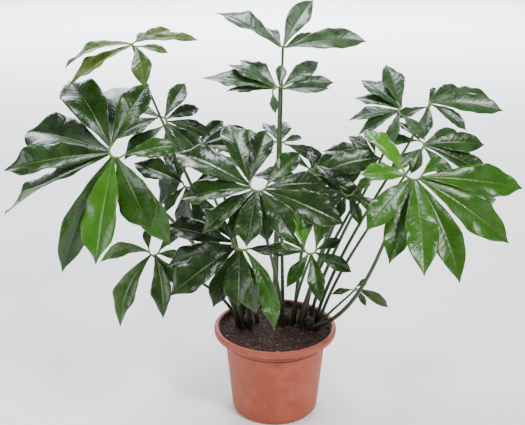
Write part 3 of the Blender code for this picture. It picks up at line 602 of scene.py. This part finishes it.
def placed(name, data):
    """A new object in the scene for this mesh, light or camera."""
    made = bpy.data.objects.new(name, data)
    bpy.context.scene.collection.objects.link(made)
    return made


def piece_from(bm, name, materials, slot, *nodes):
    """A finished piece from a bmesh: smooth shaded, on the root body, in place of the nodes it stands for."""
    mesh = mesh_from(bm, name)
    mesh.shade_smooth()
    made = placed(name, mesh)
    for skin in materials:
        mesh.materials.append(skin)
    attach(made, "root")
    if nodes:
        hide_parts(*nodes)
    return made


def spun(profile, sides):
    """A closed bmesh turned round the Z axis from a profile of (radius, height) whose ends lie on it."""
    bm = bmesh.new()
    row = [bm.verts.new((radius, 0.0, height)) for radius, height in profile]
    edges = [bm.edges.new(pair) for pair in zip(row, row[1:])]
    bmesh.ops.spin(bm, geom=row + edges, axis=(0, 0, 1), cent=(0, 0, 0), angle=math.tau, steps=sides,
                   use_merge=True)
    bmesh.ops.remove_doubles(bm, verts=bm.verts, dist=TURNED_MERGE)
    bmesh.ops.recalc_face_normals(bm, faces=bm.faces)
    return bm


def arc(centre, radius, first, last, steps):
    """Points on an arc in a profile's plane, between two angles in degrees from +X."""
    angles = [math.radians(first + (last - first) * step / steps) for step in range(steps + 1)]
    return [(centre[0] + radius * math.cos(angle), centre[1] + radius * math.sin(angle)) for angle in angles]


def smooth_at(points, where):
    """The value of a smooth curve through (place, value) points, level at its ends."""
    for (x0, y0), (x1, y1) in zip(points, points[1:]):
        if where <= x1:
            t = (where - x0) / (x1 - x0)
            return y0 + (y1 - y0) * t * t * (3 - 2 * t)
    return points[-1][1]


def curve_at(points, where):
    """The value of a rounded curve through (place, value) points, sloped at each as its neighbours lie."""
    last = len(points) - 1
    index = next((step for step in range(last) if where <= points[step + 1][0]), last - 1)
    slopes = []
    for middle in (index, index + 1):
        before, after = points[max(0, middle - 1)], points[min(last, middle + 1)]
        slopes.append((after[1] - before[1]) / (after[0] - before[0]))
    (x0, y0), (x1, y1) = points[index], points[index + 1]
    gap = x1 - x0
    t = (where - x0) / gap
    return ((2 * t ** 3 - 3 * t ** 2 + 1) * y0 + (t ** 3 - 2 * t ** 2 + t) * gap * slopes[0]
            + (3 * t ** 2 - 2 * t ** 3) * y1 + (t ** 3 - t ** 2) * gap * slopes[1])


def make_pot(settings):
    """The pot: a turned wall with a rolled lip, a step and two rings under it, and holes at its foot."""
    top = settings.height
    lip = settings.lip_radius
    mouth = lip - MOUTH_INSET
    body_top = lip - BODY_TOP_INSET
    body_foot = lip - BODY_FOOT_INSET
    lip_round = MOUTH_INSET / 2
    band = body_top + BAND_PROUD
    inner_round = (body_foot - settings.wall - FOOT_ROUND, FLOOR_THICKNESS + FOOT_ROUND)
    inside = [(0.0, FLOOR_THICKNESS)] + arc(inner_round, FOOT_ROUND, -90, 0, 8)
    ledge = [(body_top - settings.wall, top - LEDGE_FOOT), (mouth, top - LEDGE_TOP)]
    rolled = arc((mouth + lip_round, top - lip_round), lip_round, 180, 0, 16)
    hem = arc((lip - HEM_INSET, top - HEM_DROP), HEM_ROUND, 0, -90, 4)
    edge = arc((band - BAND_ROUND, top - BAND_EDGE), BAND_ROUND, 60, -60, 4)
    step = [(band - BAND_TAPER, top - BAND_TOP)] + edge + [(body_top, top - BAND_END)]
    low_ring = [(body_top + out * MM, top - down * MM) for out, down in LOW_RING]
    foot = arc((body_foot - FOOT_ROUND, FOOT_ROUND), FOOT_ROUND, 0, -90, 10)
    bm = spun(inside + ledge + rolled + hem + step + low_ring + foot + [(0.0, 0.0)], settings.sides)
    pot = piece_from(bm, "pot_moulding", [moulded_polypropylene(settings)], "pot_plastic", "pot")
    drills = bmesh.new()
    for index in range(DRAIN_HOLES):
        drill = bmesh.ops.create_cone(drills, cap_ends=True, segments=20, radius1=DRAIN_RADIUS,
                                      radius2=DRAIN_RADIUS, depth=DRILL_LENGTH)
        bearing = math.radians(DRAIN_FIRST_BEARING + index * 360 / DRAIN_HOLES)
        corner = Matrix.Translation((0.0, -(body_foot - DRAIN_INSET), DRAIN_INSET))
        place = Matrix.Rotation(bearing, 4, "Z") @ corner @ Matrix.Rotation(math.radians(-45), 4, "X") \
            @ Matrix.Translation((0.0, 0.0, DRILL_OFFSET))
        bmesh.ops.transform(drills, verts=drill["verts"], matrix=place)
    cutter = placed("drills", mesh_from(drills, "drills"))
    cut = pot.modifiers.new("drain_holes", "BOOLEAN")
    cut.operation = "DIFFERENCE"
    cut.object = cutter
    cut.solver = "EXACT"
    bpy.context.view_layer.update()
    graph = bpy.context.evaluated_depsgraph_get()
    pot.data = bpy.data.meshes.new_from_object(pot.evaluated_get(graph))
    pot.modifiers.clear()
    bpy.data.objects.remove(cutter, do_unlink=True)
    pot.data.shade_smooth()
    pot.data.set_sharp_from_angle(angle=math.radians(CREASE_ANGLE))
    return pot


def soil_height(x, y, settings):
    """How high the soil stands at a place: mounded towards the middle, with clods and low lumps."""
    centre = SOIL_HIGH.z - SOIL_CROWN_DROP
    edge = centre - SOIL_EDGE_DROP
    reach = min(1.0, math.hypot(x, y) / SOIL_HIGH.x)
    level = edge + (centre - edge) * math.cos(math.pi / 2 * reach)
    clods = noise.fractal(Vector((x, y, CLOD_SLICE)) / settings.crumb, 0.9, 2.1, 4,
                          noise_basis="PERLIN_ORIGINAL")
    lumps = noise.noise(Vector((x, y, LUMP_SLICE)) / (settings.crumb * 3))
    return level + settings.relief * (0.55 * clods + 0.5 * lumps)


def drawn_out(bm, rim):
    """A new ring of points drawn out of a ring of edges, with the edges that join them."""
    grown = bmesh.ops.extrude_edge_only(bm, edges=rim)["geom"]
    ring = {item for item in grown if isinstance(item, bmesh.types.BMVert)}
    edges = [item for item in grown if isinstance(item, bmesh.types.BMEdge)
             and all(vert in ring for vert in item.verts)]
    return ring, edges


def make_soil(settings):
    """The soil: a rough crust on a plain plug that fills the pot."""
    bm = bmesh.new()
    mouth = SOIL_HIGH.x
    bmesh.ops.create_circle(bm, cap_ends=False, segments=SOIL_SPOKES, radius=mouth)
    rim = bm.edges[:]
    for step in range(1, SOIL_RINGS):
        ring, rim = drawn_out(bm, rim)
        share = 1 - step / SOIL_RINGS
        for vert in ring:
            vert.co = vert.co.normalized() * mouth * share
    bmesh.ops.contextual_create(bm, geom=rim)
    for vert in bm.verts:
        vert.co.z = min(SOIL_HIGH.z, soil_height(vert.co.x, vert.co.y, settings))
    rim = [edge for edge in bm.edges if edge.is_boundary]
    for radius, height in SOIL_SIDE:
        ring, rim = drawn_out(bm, rim)
        for vert in ring:
            flat = Vector((vert.co.x, vert.co.y, 0.0)).normalized() * radius
            vert.co = (flat.x, flat.y, height)
    bmesh.ops.contextual_create(bm, geom=rim)
    bmesh.ops.recalc_face_normals(bm, faces=bm.faces)
    return piece_from(bm, "soil_crust", [damp_peat(settings)], "soil", "soil")


def add_lump(bm, radius, detail, uneven, grain, offset, place, kind):
    """One uneven lump of grit: a ball with bumps of this grain, put in its place."""
    lump = bmesh.ops.create_icosphere(bm, subdivisions=detail, radius=radius)["verts"]
    for vert in lump:
        vert.co *= 1 + uneven * noise.noise(vert.co / grain + offset)
    bmesh.ops.transform(bm, verts=lump, matrix=place)
    for face in {face for vert in lump for face in vert.link_faces}:
        face.material_index = kind


def make_grit(settings):
    """Loose crumbs, bark chips and pale grit on the soil, and one small pale stone at its front."""
    dice = random.Random(SEED)
    bm = bmesh.new()
    for index in range(settings.crumbs):
        radius = (SOIL_HIGH.x - 6 * MM) * math.sqrt(dice.random())
        angle = dice.random() * math.tau
        x, y = radius * math.cos(angle), radius * math.sin(angle)
        size = dice.choice(GRIT_SIZES) * dice.uniform(0.8, 1.2)
        kind = dice.choices(range(len(GRIT)), weights=[grit.weight for grit in GRIT])[0]
        stretch = GRIT[kind].stretch
        place = Matrix.Translation((x, y, soil_height(x, y, settings) + size * stretch[2] * 0.25)) \
            @ Matrix.Rotation(dice.random() * math.tau, 4, "Z") \
            @ Matrix.Rotation(dice.uniform(-0.4, 0.4), 4, "X") @ Matrix.Diagonal((*stretch, 1.0))
        add_lump(bm, size, 1, 0.28, size, Vector((index, 0, 0)), place, kind)
    x, y = STONE_PLACE
    place = Matrix.Translation((x, y, soil_height(x, y, settings) + 0.8 * MM)) \
        @ Matrix.Diagonal((*STONE_STRETCH, 1.0))
    add_lump(bm, STONE_RADIUS, 3, 0.16, 2.4 * MM, Vector(), place, len(GRIT) - 1)
    bmesh.ops.recalc_face_normals(bm, faces=bm.faces)
    return piece_from(bm, "soil_grit", [plain_grit(grit) for grit in GRIT], "soil")


def facing(frond):
    """The direction that a frond's upper side faces."""
    turn, rise = (math.radians(angle) for angle in frond.faces)
    return Vector((math.sin(turn) * math.cos(rise), -math.cos(turn) * math.cos(rise), math.sin(rise)))


def in_plane(bearing, normal):
    """The direction in a frond's plane that has this bearing in the front view."""
    angle = math.radians(bearing)
    seen = VIEW_RIGHT * math.sin(angle) + VIEW_UP * math.cos(angle)
    depth = -seen.dot(normal) / VIEW_FORWARD.dot(normal)
    return (seen + VIEW_FORWARD * depth).normalized()


def stoutness(frond):
    """How stout a frond's stalk and rachis are, next to those of the largest fronds."""
    return math.sqrt(frond.arm / FULL_ARM)


def rachis_turn(frond, out):
    """Where on the rachis a leaflet that points this way is rooted: it turns less than the leaflets do."""
    normal = facing(frond)
    axis = in_plane(frond.axis, normal)
    return math.atan2(out.dot(normal.cross(axis)), out.dot(axis)) * RACHIS_SPREAD


def on_rachis(frond, turn):
    """The point of the rachis at this turn from its middle."""
    normal = facing(frond)
    axis = in_plane(frond.axis, normal)
    return Vector(frond.hub) + (axis * math.cos(turn) + normal.cross(axis) * math.sin(turn)) * frond.arm


def wrap(bm, line, radii, sides, skin, state):
    """A closed tube along a line of points: a grid rolled round it, with its seam and its ends merged."""
    rows = len(line) - 1
    maps = bm.loops.layers.uv["blade"]
    states = bm.verts.layers.float_color["leaf_state"]
    grid = bmesh.ops.create_grid(bm, x_segments=sides, y_segments=rows, size=1.0)["verts"]
    faces = {face for vert in grid for face in vert.link_faces}
    distance = [0.0]
    for first, second in zip(line, line[1:]):
        distance.append(distance[-1] + (second - first).length)
    for face in faces:
        face.material_index = skin
        for loop in face.loops:
            row = round((loop.vert.co.y + 1) / 2 * rows)
            loop[maps].uv = (loop.vert.co.x, distance[row])
    side = None
    rings = []
    for row, point in enumerate(line):
        tangent = (line[min(row + 1, rows)] - line[max(row - 1, 0)]).normalized()
        if side is None:
            side = tangent.orthogonal().normalized()
        side = (side - tangent * side.dot(tangent)).normalized()
        rings.append((point, side, tangent.cross(side)))
    for vert in grid:
        row = round((vert.co.y + 1) / 2 * rows)
        angle = (vert.co.x + 1) * math.pi
        point, first, second = rings[row]
        vert.co = point + (first * math.cos(angle) + second * math.sin(angle)) * radii[row]
        vert[states] = state
    bmesh.ops.remove_doubles(bm, verts=grid, dist=ROLLED_MERGE)
    return faces


def stalk_line(frond):
    """The stalk's line: straight up out of the soil, then over to the front of the rachis."""
    angle = math.radians(frond.place)
    x, y = CROWNS[frond.crown]
    start = Vector((x + STALK_RING * math.cos(angle), y + STALK_RING * math.sin(angle), STALK_STRAIGHT_TOP))
    end = on_rachis(frond, 0.0)
    chord = end - start
    push = LEANING.get(frond.name, UPWARD_PUSH)
    ahead = chord.normalized()
    leaving = (ahead + Vector((0, 0, push))).normalized() * chord.length * LEAVING_SHARE
    inward = ahead * ARRIVING_ON + facing(frond) * ARRIVING_UP
    arriving = inward.normalized() * chord.length * ARRIVING_SHARE
    line = [Vector((start.x, start.y, STALK_START)), Vector((start.x, start.y, STALK_START + 6 * MM))]
    for step in range(STALK_STEPS + 1):
        t = step / STALK_STEPS
        line.append((1 - t) ** 3 * start + 3 * (1 - t) ** 2 * t * (start + leaving)
                    + 3 * (1 - t) * t ** 2 * (end - arriving) + t ** 3 * end)
    return line


def add_stalk(bm, frond, state):
    """The stalk, thinner upwards, a little swollen at its foot and under the rachis."""
    line = stalk_line(frond)
    stout = stoutness(frond)
    last = len(line) - 1
    radii = []
    for step in range(last + 1):
        share = max(0.0, (step - 2) / (last - 2))
        radius = (STALK_FOOT_RADIUS - (STALK_FOOT_RADIUS - STALK_TIP_RADIUS) * share) * stout
        swollen = sum(swell * math.exp(-((share - where) / long) ** 2) for swell, where, long in SWELLINGS)
        radii.append(radius * (1 + swollen))
    closing = line[-1] + (line[-1] - line[-2]) * 0.05
    wrap(bm, line + [closing], radii + [0.0], STALK_SIDES, STALK_SKIN, state)


def add_rachis(bm, frond, state):
    """The horseshoe that carries the leaflets, with a small joint where each one leaves it."""
    normal = facing(frond)
    turns = [math.degrees(rachis_turn(frond, in_plane(one.bearing, normal))) for one in frond.leaflets]
    first, last = min(turns) - RACHIS_PAST, max(turns) + RACHIS_PAST
    steps = max(12, round((last - first) / RACHIS_STEP))
    stout = stoutness(frond)
    line, radii = [], []
    for step in range(steps + 1):
        turn = first + (last - first) * step / steps
        line.append(on_rachis(frond, math.radians(turn)))
        far = abs(step / steps * 2 - 1)
        joint = max(math.exp(-((turn - one) / JOINT_LENGTH) ** 2) for one in turns)
        thin = RACHIS_RADIUS - (RACHIS_RADIUS - RACHIS_END_RADIUS) * far
        radii.append(thin * stout * (JOINT_THIN + JOINT_SWELLING * joint))
    line = [line[0] * 1.02 - line[1] * 0.02] + line + [line[-1] * 1.02 - line[-2] * 0.02]
    wrap(bm, line, [0.0] + radii + [0.0], RACHIS_SIDES, RIB_SKIN, state)


class Blade:
    """Where a leaflet lies: its root, its directions and the arc of its midrib."""

    def __init__(self, frond, one, lift):
        normal = facing(frond)
        bearing = in_plane(one.bearing, normal)
        foot = on_rachis(frond, rachis_turn(frond, bearing))
        span = Vector(frond.hub) + bearing * one.reach - foot
        out = span.normalized()
        rise = math.radians(lift)
        self.along = out * math.cos(rise) + normal * math.sin(rise)
        self.up = normal * math.cos(rise) - out * math.sin(rise)
        self.across = self.along.cross(self.up)
        self.root = foot - out * ROOT_SUNK
        bend, sweep = math.radians(one.bend), math.radians(one.sweep)
        self.curl = max(math.hypot(bend, sweep), 0.001)
        self.towards = (self.up * -bend + self.across * sweep) / self.curl
        self.hinge = self.along.cross(self.towards)
        self.length = span.length + ROOT_SUNK
        self.half = self.length * one.width / 2
        self.twist = math.radians(one.twist)

    def middle(self, share):
        """A point of the midrib."""
        angle = self.curl * share
        return self.root + (self.along * math.sin(angle) + self.towards * (1 - math.cos(angle))) \
            * (self.length / self.curl)

    def turn(self, share):
        """How the blade's cross section is turned there."""
        bent = Matrix.Rotation(self.curl * share, 3, self.hinge)
        return Matrix.Rotation(self.twist * min(1.0, share / TWIST_LENGTH), 3, bent @ self.along) @ bent


def lift_of(frond, one, tree):
    """The lift that the solid frond gives a leaflet: the one whose tip lies nearest to the solid's points."""
    return min((one.lift + extra for extra in LIFTS),
               key=lambda lift: tree.find(Blade(frond, one, lift).middle(1.0))[2])


def add_blade(bm, frond, one, blade, settings, dice, state):
    """One leaflet's blade, folded at its midrib, waved at its edges and quilted between its side veins."""
    maps = bm.loops.layers.uv["blade"]
    states = bm.verts.layers.float_color["leaf_state"]
    rows, columns = settings.rows, settings.columns
    grid = bmesh.ops.create_grid(bm, x_segments=columns, y_segments=rows, size=1.0)["verts"]
    faces = {face for vert in grid for face in vert.link_faces}
    for face in faces:
        face.material_index = UPPER_SKIN
        for loop in face.loops:
            loop[maps].uv = (loop.vert.co.x, (loop.vert.co.y + 1) / 2 * blade.length)
    phases = [dice.random() * math.tau for _ in range(4)]
    beats = [dice.uniform(*MARGIN_BEATS) for _ in range(2)]
    ruffle = settings.ruffle * blade.length / RUFFLED_LENGTH
    lopsided = dice.uniform(-LOPSIDED, LOPSIDED)
    outline, waves = frond.form
    levels = []
    for row in range(rows + 1):
        share = row / rows
        wide = max(0.0, curve_at(outline, share))
        levels.append((share, wide, blade.middle(share), blade.turn(share), smooth_at(waves, share)))
    for vert in grid:
        x = vert.co.x
        share, wide, middle, turn, wave = levels[round((vert.co.y + 1) / 2 * rows)]
        aside = abs(x)
        left = x < 0
        half = blade.half * wide * (1 + lopsided * (1 if left else -1))
        beat = beats[left] * math.tau * share
        half *= 1 + MARGIN_WANDER * math.sin(beat + phases[left])
        rise = half * (MIDRIB_SLOPE * aside - (MIDRIB_SLOPE - math.sin(settings.fold)) * aside ** 2)
        rise += settings.wave * blade.length * wide * wave / 2 * x * aside
        rise += ruffle * wide * aside ** 3 * math.sin(beat * RUFFLE_RATE + phases[2 + left])
        veins = (share * blade.length - VEIN_LEAN * aside ** VEIN_CURVE) / settings.vein_spacing
        rise += QUILTING * wide * math.sin(math.pi * aside) * abs(math.sin(math.pi * veins))
        vert.co = middle + turn @ (blade.across * x * half * math.cos(settings.fold) + blade.up * rise)
        vert[states] = (state[0], state[1], share, state[3])
    bmesh.ops.remove_doubles(bm, verts=grid, dist=BLADE_MERGE)
    faces = [face for face in faces if face.is_valid]
    bmesh.ops.recalc_face_normals(bm, faces=faces)
    if sum((face.normal.dot(blade.up) for face in faces), 0.0) < 0:
        bmesh.ops.reverse_faces(bm, faces=faces)
    thick = settings.thickness
    tops = {vert for face in faces for vert in face.verts}
    for vert in tops:
        vert.normal_update()
    for vert in tops:
        vert.co += vert.normal * thick / 2
    under = bmesh.ops.duplicate(bm, geom=faces)
    lower = [item for item in under["geom"] if isinstance(item, bmesh.types.BMFace)]
    bottoms = {vert for face in lower for vert in face.verts}
    for vert in bottoms:
        vert.co -= vert.normal * thick
    bmesh.ops.reverse_faces(bm, faces=lower)
    for face in lower:
        face.material_index = UNDER_SKIN
    rims = [edge for face in faces + lower for edge in face.edges if edge.is_boundary]
    joined = bmesh.ops.bridge_loops(bm, edges=list(set(rims)))
    for face in joined["faces"]:
        face.material_index = RIM_SKIN


def add_midrib(bm, blade, settings, state):
    """The midrib, a slim tapering rod that stands a little out of both sides of the blade."""
    sunk = settings.thickness * MIDRIB_SUNK
    line, radii = [], []
    for step in range(MIDRIB_STEPS + 1):
        share = step / MIDRIB_STEPS * MIDRIB_REACH
        line.append(blade.middle(share) - blade.turn(share) @ blade.up * sunk)
        radii.append(MIDRIB_ROOT - (MIDRIB_ROOT - MIDRIB_TIP) * share ** MIDRIB_THINNING)
    radii[-1] = 0.0
    start = line[0] - blade.along * 2 * MM
    wrap(bm, [start] + line, [0.0] + radii, MIDRIB_SIDES, RIB_SKIN, state)


def make_frond(frond, settings, skins):
    """One frond: stalk, rachis, midribs and blades in one piece, in place of its solid."""
    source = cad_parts["frond_" + frond.name].data
    tree = KDTree(len(source.vertices))
    for index, vert in enumerate(source.vertices):
        tree.insert(vert.co, index)
    tree.balance()
    dice = random.Random(SEED + sum(map(ord, frond.name)))
    bm = bmesh.new()
    bm.loops.layers.uv.new("blade")
    bm.verts.layers.float_color.new("leaf_state")
    # The look's third value is how much grey sheen is painted on for the sky's reflection
    tone, fade, painted_sheen = frond.look
    plain = (tone, fade, 0.0, painted_sheen)
    add_stalk(bm, frond, plain)
    add_rachis(bm, frond, plain)
    for one in frond.leaflets:
        green = max(0.0, min(1.0, tone + one.glow + dice.uniform(-TONE_SPREAD, TONE_SPREAD)))
        state = (green, min(1.0, fade * dice.uniform(*FADE_SPREAD)), 0.0, painted_sheen * dice.uniform(*PAINTED_SHEEN_SPREAD))
        blade = Blade(frond, one, lift_of(frond, one, tree))
        add_blade(bm, frond, one, blade, settings, dice, state)
        add_midrib(bm, blade, settings, state)
    bmesh.ops.recalc_face_normals(bm, faces=bm.faces)
    return piece_from(bm, "leafy_" + frond.name, skins, "leaf", "frond_" + frond.name)


def make_crown(side):
    """A crown's blunt stem, domed at its top and ringed by the scars of old stalks."""
    low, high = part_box("crown_" + side)
    radius = (high.x - low.x) / 2
    centre = Vector(((low.x + high.x) / 2, (low.y + high.y) / 2, 0.0))
    profile = []
    for step in range(CROWN_ROWS + 1):
        share = step / CROWN_ROWS
        dome = min(1.0, math.sqrt(max(0.0, share / CROWN_DOME)))
        scar = 1 - SCAR_DEPTH * (0.5 + 0.5 * math.cos(share * CROWN_SCARS * math.tau))
        profile.append((radius * dome * scar, high.z - (high.z - low.z) * share))
    profile.append((0.0, low.z))
    bm = spun(profile, CROWN_SIDES)
    # Each crown reads the noise at a place of its own
    offset = centre * 100
    for vert in bm.verts:
        flat = Vector((vert.co.x, vert.co.y, 0.0))
        vert.co -= flat * (CROWN_UNEVEN * (0.5 + 0.5 * noise.noise(vert.co / (4 * MM) + offset)))
    bmesh.ops.translate(bm, verts=bm.verts, vec=centre)
    return piece_from(bm, "crown_stem_" + side, [crown_bark()], "crown_bark", "crown_" + side)


def painted_floor(settings):
    """Matt floor paint."""
    # Even and dull, so that it shows nothing but a soft shadow
    made, add, shader = finish_named("painted_floor", 1.45, 0.7)
    shader.inputs["Base Color"].default_value = (*settings.floor, 1)
    return made


def make_stage(settings):
    """A plain pale floor, soft lights and the camera at the photograph's viewing angle."""
    bm = bmesh.new()
    bmesh.ops.create_grid(bm, x_segments=1, y_segments=1, size=settings.floor_size / 2)
    floor = placed("floor", mesh_from(bm, "floor"))
    floor.data.materials.append(painted_floor(settings))
    world = bpy.data.worlds.new("studio")
    world.use_nodes = True
    sky = world.node_tree.nodes["Background"]
    sky.inputs["Color"].default_value = (*linear(SKY_COLOUR), 1)
    sky.inputs["Strength"].default_value = settings.sky
    bpy.context.scene.world = world
    for name, place, target, size, share, tint in LIGHTS:
        lamp = bpy.data.lights.new(name, "AREA")
        lamp.shape = "RECTANGLE"
        lamp.size, lamp.size_y = size
        lamp.energy = settings.key * share
        lamp.color = linear(tint)
        holder = placed(name, lamp)
        holder.location = place
        if target:
            holder.rotation_euler = (Vector(target) - Vector(place)).to_track_quat("-Z", "Y").to_euler()
    lens = bpy.data.cameras.new("camera")
    lens.sensor_width = SENSOR_WIDTH
    lens.lens = FOCAL_PIXELS / PHOTO_WIDTH * SENSOR_WIDTH
    lens.clip_start, lens.clip_end = CLIP_NEAR, CLIP_FAR
    camera = placed("camera", lens)
    camera.location = EYE
    camera.rotation_euler = (math.radians(90 - EYE_TILT), 0.0, 0.0)
    bpy.context.scene.camera = camera


class POTPLANT_OT_pot(bpy.types.Operator):
    """Make the moulded pot"""
    bl_idname = "potplant.pot"
    bl_label = "Pot"

    def execute(self, context):
        make_pot(context.scene.potplant_pot)
        return {"FINISHED"}


class POTPLANT_OT_soil(bpy.types.Operator):
    """Make the soil and the loose grit on it"""
    bl_idname = "potplant.soil"
    bl_label = "Soil"

    def execute(self, context):
        make_soil(context.scene.potplant_soil)
        make_grit(context.scene.potplant_soil)
        return {"FINISHED"}


class POTPLANT_OT_crowns(bpy.types.Operator):
    """Make the three crowns at the soil's surface"""
    bl_idname = "potplant.crowns"
    bl_label = "Crowns"

    def execute(self, context):
        for side in CROWNS:
            make_crown(side)
        return {"FINISHED"}


class POTPLANT_OT_fronds(bpy.types.Operator):
    """Make the fronds, each in place of its solid"""
    bl_idname = "potplant.fronds"
    bl_label = "Fronds"

    def execute(self, context):
        settings = context.scene.potplant_fronds
        # Upper side: a thin wax over deep green, so soft bright streaks lie along each half of a leaflet
        upper = leaf_skin("waxy_leaf_upper", settings, settings.deep, settings.bright, 0.08, 0.27, 0.10)
        # Underside: no wax, paler and matt, with the veins standing out
        pale = tuple(channel * 1.5 for channel in settings.under)
        under = leaf_skin("matt_leaf_underside", settings, settings.under, pale, 0.35, 0.55, 0.0)
        ribs = rib_skin(settings)
        skins = [upper, under, ribs, stalk_skin(settings), ribs]
        for frond in FRONDS:
            make_frond(frond, settings, skins)
        return {"FINISHED"}


class POTPLANT_OT_stage(bpy.types.Operator):
    """Make the floor, the lights and the camera"""
    bl_idname = "potplant.stage"
    bl_label = "Stage"

    def execute(self, context):
        make_stage(context.scene.potplant_stage)
        return {"FINISHED"}


class POTPLANT_PT_panel(bpy.types.Panel):
    """The pieces of the potted philodendron"""
    bl_label = "Potted philodendron"
    bl_space_type = "VIEW_3D"
    bl_region_type = "UI"
    bl_category = "Philodendron"

    def draw(self, context):
        for group, operators in PANEL_ROWS:
            box = self.layout.box()
            settings = getattr(context.scene, group)
            for name in settings.__annotations__:
                box.prop(settings, name)
            for operator in operators:
                box.operator(operator.bl_idname)


PANEL_ROWS = (
    ("potplant_pot", (POTPLANT_OT_pot,)),
    ("potplant_soil", (POTPLANT_OT_soil,)),
    ("potplant_fronds", (POTPLANT_OT_crowns, POTPLANT_OT_fronds)),
    ("potplant_stage", (POTPLANT_OT_stage,)),
)
GROUPS = {"potplant_pot": PotSettings, "potplant_soil": SoilSettings, "potplant_fronds": FrondSettings,
          "potplant_stage": StageSettings}
CLASSES = (*GROUPS.values(), POTPLANT_OT_pot, POTPLANT_OT_soil, POTPLANT_OT_crowns, POTPLANT_OT_fronds,
           POTPLANT_OT_stage, POTPLANT_PT_panel)


def register():
    """Register the classes and give the scene their settings."""
    for item in CLASSES:
        bpy.utils.register_class(item)
    for name, group in GROUPS.items():
        setattr(bpy.types.Scene, name, PointerProperty(type=group))


def unregister():
    """Take the settings and the classes away again."""
    for name in GROUPS:
        delattr(bpy.types.Scene, name)
    for item in reversed(CLASSES):
        bpy.utils.unregister_class(item)


def main():
    """Build every piece in order."""
    register()
    bpy.ops.potplant.stage()
    bpy.ops.potplant.pot()
    bpy.ops.potplant.soil()
    bpy.ops.potplant.crowns()
    bpy.ops.potplant.fronds()


if __name__ == "__main__":
    main()
